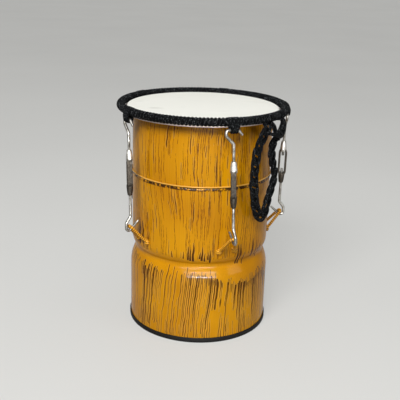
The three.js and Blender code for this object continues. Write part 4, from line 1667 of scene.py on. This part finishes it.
    def body_bars(self) -> Surface:
        """Makes the two bars of a body, bowed in to the noses.

        The section is a boxy oval: cosine and sine of the angle, each to the power of its squareness.

        Returns:
            The closed surfaces, in the body's frame.
        """
        s = self.sizes
        shoulder = s.body_length / 2 - s.nose_length
        middle = s.body_half_width - s.bar / 2
        knots = [
            (s.bar_root, 0.0, -shoulder - s.bar_tuck),
            (middle - s.bar_bow, 0.0, -shoulder - s.bow_foot),
            (middle, 0.0, -shoulder + s.bow_rise),
            (middle, 0.0, 0.0),
        ]
        knots += [(x, y, -z) for x, y, z in knots[-2::-1]]
        line = smooth_line(np.array(knots), steps=6)
        turn = round_angles(s.bar_facets)
        waves = np.stack([np.cos(turn), np.sin(turn)], -1)
        section = np.sign(waves) * np.abs(waves) ** s.bar_squareness * (s.bar / 2, s.body_depth / 2)
        normal = np.cross(Y_AXIS, tangents(line))
        points = line[:, None] + section[:, :1] * normal[:, None] + section[:, 1:] * Y_AXIS
        bar = skinned(points, girth(s.bar_facets, s.bar_unroll), lengths(line))
        return bar + bar.moved(Frame(np.zeros(3), np.diag([-1.0, -1.0, 1.0])))

    def body_nose(self) -> Surface:
        """Makes the upper bored nose of a body: a closed profile turned about the body's axis.

        Returns:
            The closed surface, in the body's frame.
        """
        s = self.sizes
        tip = s.body_length / 2
        foot = tip - s.nose_length
        profile = np.array([(x, foot + z) for x, z in s.nose_foot] + [(x, tip + z) for x, z in s.nose_tip])
        turn = round_angles(s.nose_facets)
        radius, height = profile[:, :1], profile[:, 1:]
        points = np.stack(np.broadcast_arrays(radius * np.cos(turn), radius * np.sin(turn), height), -1)
        along = lengths(np.concatenate([profile, profile[:1]]))
        return skinned(points, girth(s.nose_facets, s.nose_unroll), along, closed=True)


@dataclass
class Crown:
    """The head, its hoop, and the cord-wound ring with its lugs."""

    workshop: Workshop
    sizes: CrownSizes = CROWN

    def build(self) -> None:
        """Makes everything that the turnbuckles pull down."""
        self.head()
        self.hoop()
        lugs = [azimuth + CROWN_TWIST for azimuth in ANCHOR_AZIMUTHS]
        for number, azimuth in enumerate(lugs, 1):
            after = lugs[number % len(lugs)]
            self.winding(number, azimuth, after if after > azimuth else after + 360)
            self.lug(number, azimuth)
        self.workshop.paint("crown_ring", Finish.STEEL)

    def head(self) -> None:
        """Makes the film: flat, bent down at its edge and carried on as a skirt inside the hoop."""
        s = self.sizes
        skirt = s.hoop_inner - s.film_gap
        foot = s.hoop_top - s.hoop_height + s.skirt_lift
        bend = (skirt - s.film_bend, s.film_height - s.film_bend)
        top = [(radius, s.film_height) for radius in s.film_rings]
        outer = [*arc(bend, s.film_bend, 90, 0, steps=6), (skirt, foot)]
        inner = [(skirt - s.film, foot), *arc(bend, s.film_bend - s.film, 0, 90, steps=6)]
        under = [(radius, s.film_height - s.film) for radius in s.film_rings[::-1]]
        surface = lathe(np.array(top + outer + inner + under), SHELL.steps_round)
        self.workshop.piece("drumhead_film", surface, Finish.FILM, "crown", "drumhead")

    def hoop(self) -> None:
        """Makes the hoop: a turned block with rounded edges."""
        s = self.sizes
        low, small, large = s.hoop_top - s.hoop_height, s.hoop_inner_round, s.hoop_outer_round
        profile = [
            arc((s.hoop_inner + small, low + small), small, 180, 270, steps=3),
            arc((s.hoop_outer - large, low + large), large, -90, 0, steps=4),
            arc((s.hoop_outer - large, s.hoop_top - large), large, 0, 90, steps=4),
            arc((s.hoop_inner + small, s.hoop_top - small), small, 90, 180, steps=3),
        ]
        surface = lathe(np.concatenate(profile), SHELL.steps_round)
        self.workshop.piece("flesh_hoop_band", surface, Finish.ALUMINIUM, "crown", "flesh_hoop")

    def winding(self, number: int, start: float, stop: float) -> None:
        """Makes the turns of cord between the middles of two lugs.

        The cord's middle line circles the ring's own line once for each pitch, at a slightly uneven radius.
        Its oval section faces away from the ring's line.

        Args:
            number: The stretch's number.
            start: Azimuth where it begins.
            stop: Azimuth where it ends.
        """
        s = self.sizes
        turns = round(math.radians(stop - start) * s.radius / s.pitch)
        place = np.arange(turns * s.steps_per_turn + 1) / s.steps_per_turn
        azimuth = start + (stop - start) * place / turns
        slack = s.cord_slack * ripple(place / turns, SLACK_SEED + number, waves=12, low=3, high=turns)
        coil = s.roll_radius - s.cord_half + slack
        turn = TURN * place
        centre = polar(azimuth, s.radius + coil * np.cos(turn), s.height + coil * np.sin(turn))
        out = unit(centre - polar(azimuth, s.radius, s.height))
        side = np.cross(tangents(centre), out)
        surface = sweep(centre, out, side, s.cord_half, s.pitch * s.cord_share, count=14)
        node = f"crown_cord_{number}"
        self.workshop.piece(f"{node}_turns", surface, Finish.CORD, "crown", node)

    def lug(self, number: int, azimuth: float) -> None:
        """Makes one lug: cords side by side, each a loop round the roll and down round the hook's slot.

        Args:
            number: The lug's number.
            azimuth: The lug's azimuth.
        """
        s = self.sizes
        half, bend = s.lug_leg / 2, s.lug_bend
        outer = s.lug_wire_radius + s.lug_slot / 2 + half
        inner = s.lug_wire_radius - s.lug_slot / 2 - half
        low = s.lug_foot + s.lug_sole + bend
        loop = np.concatenate(
            [
                arc((s.radius, s.height), s.roll_radius - half + s.lug_rise, *s.lug_wrap, steps=22),
                [(inner, s.height - s.roll_radius + s.lug_inner_lift)],
                arc((inner + bend, low), bend, -180, -90, steps=5),
                arc((outer - bend, low), bend, -90, 0, steps=5),
                [(outer, s.lug_foot + s.lug_outer_foot), (outer, s.height - s.lug_outer_drop)],
            ]
        )
        rise = np.clip((loop[:, 1] - s.lug_foot) / s.lug_flare, 0, 1) ** s.lug_flare_power
        width = s.lug_foot_width + (s.lug_top_width - s.lug_foot_width) * rise
        shares = [(k + MIDDLE) / s.lug_cords - MIDDLE for k in range(s.lug_cords)]
        surface = joined([self.lug_cord(loop, width * share) for share in shares]).moved(station(azimuth))
        self.workshop.piece(f"lug_{number}_cords", surface, Finish.CORD, "crown", f"lug_{number}")

    def lug_cord(self, loop: Array, offset: Array) -> Surface:
        """Sweeps one cord of a lug, flattened and as wide as its room there.

        Args:
            loop: Rows of radius and height round the lug.
            offset: How far sideways the cord lies at each row.

        Returns:
            The closed surface, in the lug's station.
        """
        s = self.sizes
        line = self.evened(np.stack([loop[:, 0], offset, loop[:, 1]], -1), s.lug_spacing)
        side = np.broadcast_to(Y_AXIS, line.shape)
        normal = unit(np.cross(side, tangents(line, closed=True)))
        flare = (s.lug_foot, s.lug_foot + s.lug_flare)
        width = np.interp(line[:, 2], flare, (s.lug_foot_width, s.lug_top_width)) / s.lug_cords
        thick = s.lug_leg / 2 * s.lug_cord_flatness
        return sweep(line, normal, side, thick, width * s.lug_cord_share, count=10, closed=True)

    @staticmethod
    def evened(loop: Array, spacing: float, rounds: int = 3) -> Array:
        """Spaces a closed line evenly, then moves each point half way to the middle of its neighbours.

        Args:
            loop: Points of the line.
            spacing: Distance between points.
            rounds: How often the points are moved.

        Returns:
            The softened line.
        """
        line = resampled(np.concatenate([loop, loop[:1]]), spacing)[:-1]
        for _ in range(rounds):
            line = (np.roll(line, 1, 0) + 2 * line + np.roll(line, -1, 0)) / 4
        return line


@dataclass
class Handle:
    """The chain-stitched cord that hangs from the crown, and the hitches that tie it on.

    The beat is the angle by which the stitches' slack goes on from one to the next. The lashing lies between
    two distances from the route's end. The turns over the crown are arcs between two angles, and are tucked in
    at their ends.
    """

    workshop: Workshop
    strand: float = 2.8
    stitch: float = 16.5
    half_length: float = 13.6
    half_width: float = 5.9
    lift: float = 2.9
    slack: float = 0.13
    beat: float = 2.4
    first_lap: float = 8.0
    leader: float = 24.0
    leader_strand: float = 3.8
    stitch_points: int = 44
    stitch_facets: int = 12
    lashing: Pair = (34.0, 23.0)
    lashing_strand: float = 2.4
    lashing_radius: float = 5.4
    lashing_turns: float = 2.5
    lashing_points: int = 60
    turn_strand: float = 2.1
    turn_azimuths: Steps = (45.4, 47.6, 49.8, 61.6, 63.8, 66.0)
    turn_ends: Pair = (-105.0, 95.0)
    turn_lean: float = 1.2
    turn_sink: float = 0.8
    turn_tuck: float = 2.0
    turn_tuck_power: int = 6
    turn_points: int = 36

    def build(self) -> None:
        """Makes the chain along the route of the hanging loop, and what ties it on."""
        route = hung_line(HANDLE_ROUTE, steps=12)
        along = lengths(route)
        table = np.concatenate([route, *self.facing(route)], 1)
        piece = self.workshop.piece
        chain = piece("handle_chain", self.chain(table, along), Finish.CORD, "handle", "handle_cord")
        hitch = piece("handle_hitch", self.hitch(table, along), Finish.CORD, "handle")
        piece("handle_turns", self.turns(), Finish.CORD, "crown")
        LOG.info("handle cord is %.0f mm long", along[-1])

    @staticmethod
    def facing(route: Array) -> tuple[Array, Array]:
        """Works out which way a route faces.

        Args:
            route: Points of the middle line.

        Returns:
            The outward and the sideways unit direction at each point.
        """
        ahead = tangents(route)
        out = square_to(unit(route * (1, 1, 0)), ahead)
        return out, np.cross(ahead, out)

    def chain(self, table: Array, along: Array) -> Surface:
        """Makes the chain: each stitch is an oval loop that tilts through the one before it.

        At a turn t a loop lies half_length * cos(t) along the route, half_width * sin(t) across it and
        lift * cos(t) out of it.

        Args:
            table: Point, outward and sideways direction in each row of the route.
            along: Length along the route at each row.

        Returns:
            The loops, and the doubled cord from the last of them up to the crown.
        """
        turn = round_angles(self.stitch_points)
        across, over = np.sin(turn)[:, None], np.cos(turn)[:, None]
        last = along[-1] - self.leader - self.half_length
        count = round((last - self.half_length) / self.stitch) + 1
        leader = table[along > along[-1] - self.leader - self.half_length / 2, :3]
        surface = tube(leader, self.leader_strand)
        for k, middle in enumerate(np.linspace(self.half_length - self.first_lap, last, count)):
            width = self.half_width * (1 + self.slack * math.sin(self.beat * k))
            here = read_off(table, along, middle + self.half_length * np.cos(turn))
            centre, out, side = np.split(here, 3, axis=1)
            loop = centre + side * width * across + out * self.lift * over
            ahead = tangents(loop, closed=True)
            normal = square_to(out, ahead)
            sides = np.cross(ahead, normal)
            surface += sweep(loop, normal, sides, self.strand, self.strand, self.stitch_facets, closed=True)
        return surface

    def hitch(self, table: Array, along: Array) -> Surface:
        """Makes the ring at the top, the tie across it, and the lashing, a helix round the chain's end.

        Args:
            table: Point, outward and sideways direction in each row of the route.
            along: Length along the route at each row.

        Returns:
            The closed surfaces.
        """
        ring = tube(hung_line(HITCH_RING, steps=10), self.leader_strand)
        tie = tube(hung_line(HITCH_TIE, steps=10), self.strand)
        start, stop = self.lashing
        places = along[-1] + np.linspace(-start, -stop, self.lashing_points)
        turn = np.linspace(0, self.lashing_turns * TURN, self.lashing_points)[:, None]
        centre, out, side = np.split(read_off(table, along, places), 3, axis=1)
        helix = centre + self.lashing_radius * (np.cos(turn) * side + np.sin(turn) * out)
        return ring + tie + tube(helix, self.lashing_strand, count=10)

    def turns(self) -> Surface:
        """Makes the turns over the crown that the loop hangs from: arcs round the roll that lean a little.

        Returns:
            The closed surfaces.
        """
        bend = np.radians(np.linspace(*self.turn_ends, self.turn_points))
        tuck = self.turn_tuck * np.linspace(-1, 1, self.turn_points) ** self.turn_tuck_power
        reach = CROWN.roll_radius - self.turn_sink - tuck
        radius, height = CROWN.radius + reach * np.cos(bend), CROWN.height + reach * np.sin(bend)
        lean = self.turn_lean * np.cos(bend)
        lines = [polar(azimuth + lean, radius, height) for azimuth in self.turn_azimuths]
        return joined([tube(line, self.turn_strand, count=10) for line in lines])


# Studio


def pose(axes: Array, place: Array) -> Matrix:
    """Works out where an object stands.

    Args:
        axes: Its three axes as rows.
        place: Its place in metres.

    Returns:
        Its world matrix.
    """
    matrix = np.eye(4)
    matrix[:3, :3] = axes.T
    matrix[:3, 3] = place
    return Matrix(matrix.tolist())


@dataclass(frozen=True)
class Viewpoint:
    """The photograph's camera: place in millimetres, angles in degrees, focal length and frame in pixels."""

    place: Triple = (57.9, -1223.9, 619.9)
    yaw: float = -2.740
    pitch: float = 18.190
    roll: float = 1.773
    focal: float = 722.04
    frame: float = 400.0
    sensor: float = 36.0

    def build(self) -> None:
        """Makes the camera: turned by the yaw, tipped down by the pitch, then rolled."""
        yaw, pitch, roll = np.radians([self.yaw, self.pitch, self.roll])
        level = np.array([math.sin(yaw), math.cos(yaw), 0.0])
        right = np.array([math.cos(yaw), -math.sin(yaw), 0.0])
        up = math.sin(pitch) * level + math.cos(pitch) * Z_AXIS
        ahead = math.cos(pitch) * level - math.sin(pitch) * Z_AXIS
        x = math.cos(roll) * right + math.sin(roll) * up
        y = math.cos(roll) * up - math.sin(roll) * right
        data = bpy.data.cameras.new("camera")
        data.sensor_fit = "HORIZONTAL"
        data.sensor_width = self.sensor
        data.lens = self.focal * self.sensor / self.frame
        camera = linked("camera", data)
        camera.matrix_world = pose(np.stack([x, y, -ahead]), np.array(self.place) * MM)
        bpy.context.scene.camera = camera


@dataclass(frozen=True)
class Softbox:
    """One rectangular lamp, in metres and watts."""

    name: str
    place: Triple
    aim: Triple
    size: Pair
    power: float
    glints_only: bool = False

    def build(self) -> None:
        """Makes the lamp."""
        data = bpy.data.lights.new(self.name, "AREA")
        data.shape = "RECTANGLE"
        data.size, data.size_y = self.size
        data.energy = self.power
        lamp = linked(self.name, data)
        lamp.visible_diffuse = not self.glints_only
        ahead = unit(np.array(self.aim) - self.place)
        right = unit(np.cross(ahead, Z_AXIS))
        lamp.matrix_world = pose(np.stack([right, np.cross(right, ahead), -ahead]), np.array(self.place))


@dataclass
class Studio:
    """Floor, lamps and surroundings, in metres."""

    workshop: Workshop
    softboxes: tuple[Softbox, ...] = (
        Softbox("key", (-0.5, -2.35, 2.25), (0.0, 0.0, 0.2), (1.7, 1.0), 112.0),
        Softbox("window", (0.25, -2.0, 0.68), (0.0, 0.0, 0.13), (1.75, 0.54), 22.0, glints_only=True),
        Softbox("sill", (0.29, -2.0, 0.36), (0.0, 0.0, 0.13), (1.70, 0.07), 46.0, glints_only=True),
        Softbox("lintel", (0.18, -2.1, 0.99), (0.0, 0.0, 0.13), (2.2, 0.06), 30.0, glints_only=True),
        Softbox("fill", (1.9, -0.9, 0.7), (0.0, 0.0, 0.15), (0.9, 0.9), 8.0),
        Softbox("top", (0.1, 0.2, 2.2), (0.0, 0.0, 0.3), (1.6, 1.6), 11.0),
    )
    floor_half: float = 30.0
    world_tone: str = "#dcdcd9"
    world_light: float = 0.118
    world_shown: float = 0.62

    def build(self) -> None:
        """Makes the studio."""
        self.floor()
        for softbox in self.softboxes:
            softbox.build()
        self.surroundings()
        bpy.context.scene.view_settings.view_transform = "Standard"

    def floor(self) -> None:
        """Makes the floor, one large square."""
        half = self.floor_half
        mesh = bpy.data.meshes.new("floor")
        corners = [(-half, -half, 0), (half, -half, 0), (half, half, 0), (-half, half, 0)]
        mesh.from_pydata(corners, [], [(0, 1, 2, 3)])
        mesh.materials.append(self.workshop.materials[Finish.FLOOR])
        linked("floor", mesh)

    def surroundings(self) -> None:
        """Makes the world: dim as a light, and pale where it is seen."""
        recipe = Recipe(bpy.data.worlds.new("studio"), "Background")
        strength = recipe.add(Kind.RAMP, recipe.shown(), 0.0, 1.0, self.world_light, self.world_shown)
        bpy.context.scene.world = recipe.finish(Color=linear(self.world_tone), Strength=strength)


def main() -> None:
    """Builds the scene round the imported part."""
    logging.basicConfig(level=logging.INFO)
    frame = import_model()
    workshop = Workshop(frame["nodes"])
    Viewpoint().build()
    Handle(workshop).build()
    Shells(workshop).build()
    Turnbuckles(workshop).build()
    Crown(workshop).build()
    Studio(workshop).build()
    bpy.context.view_layer.update()


if __name__ == "__main__":
    main()
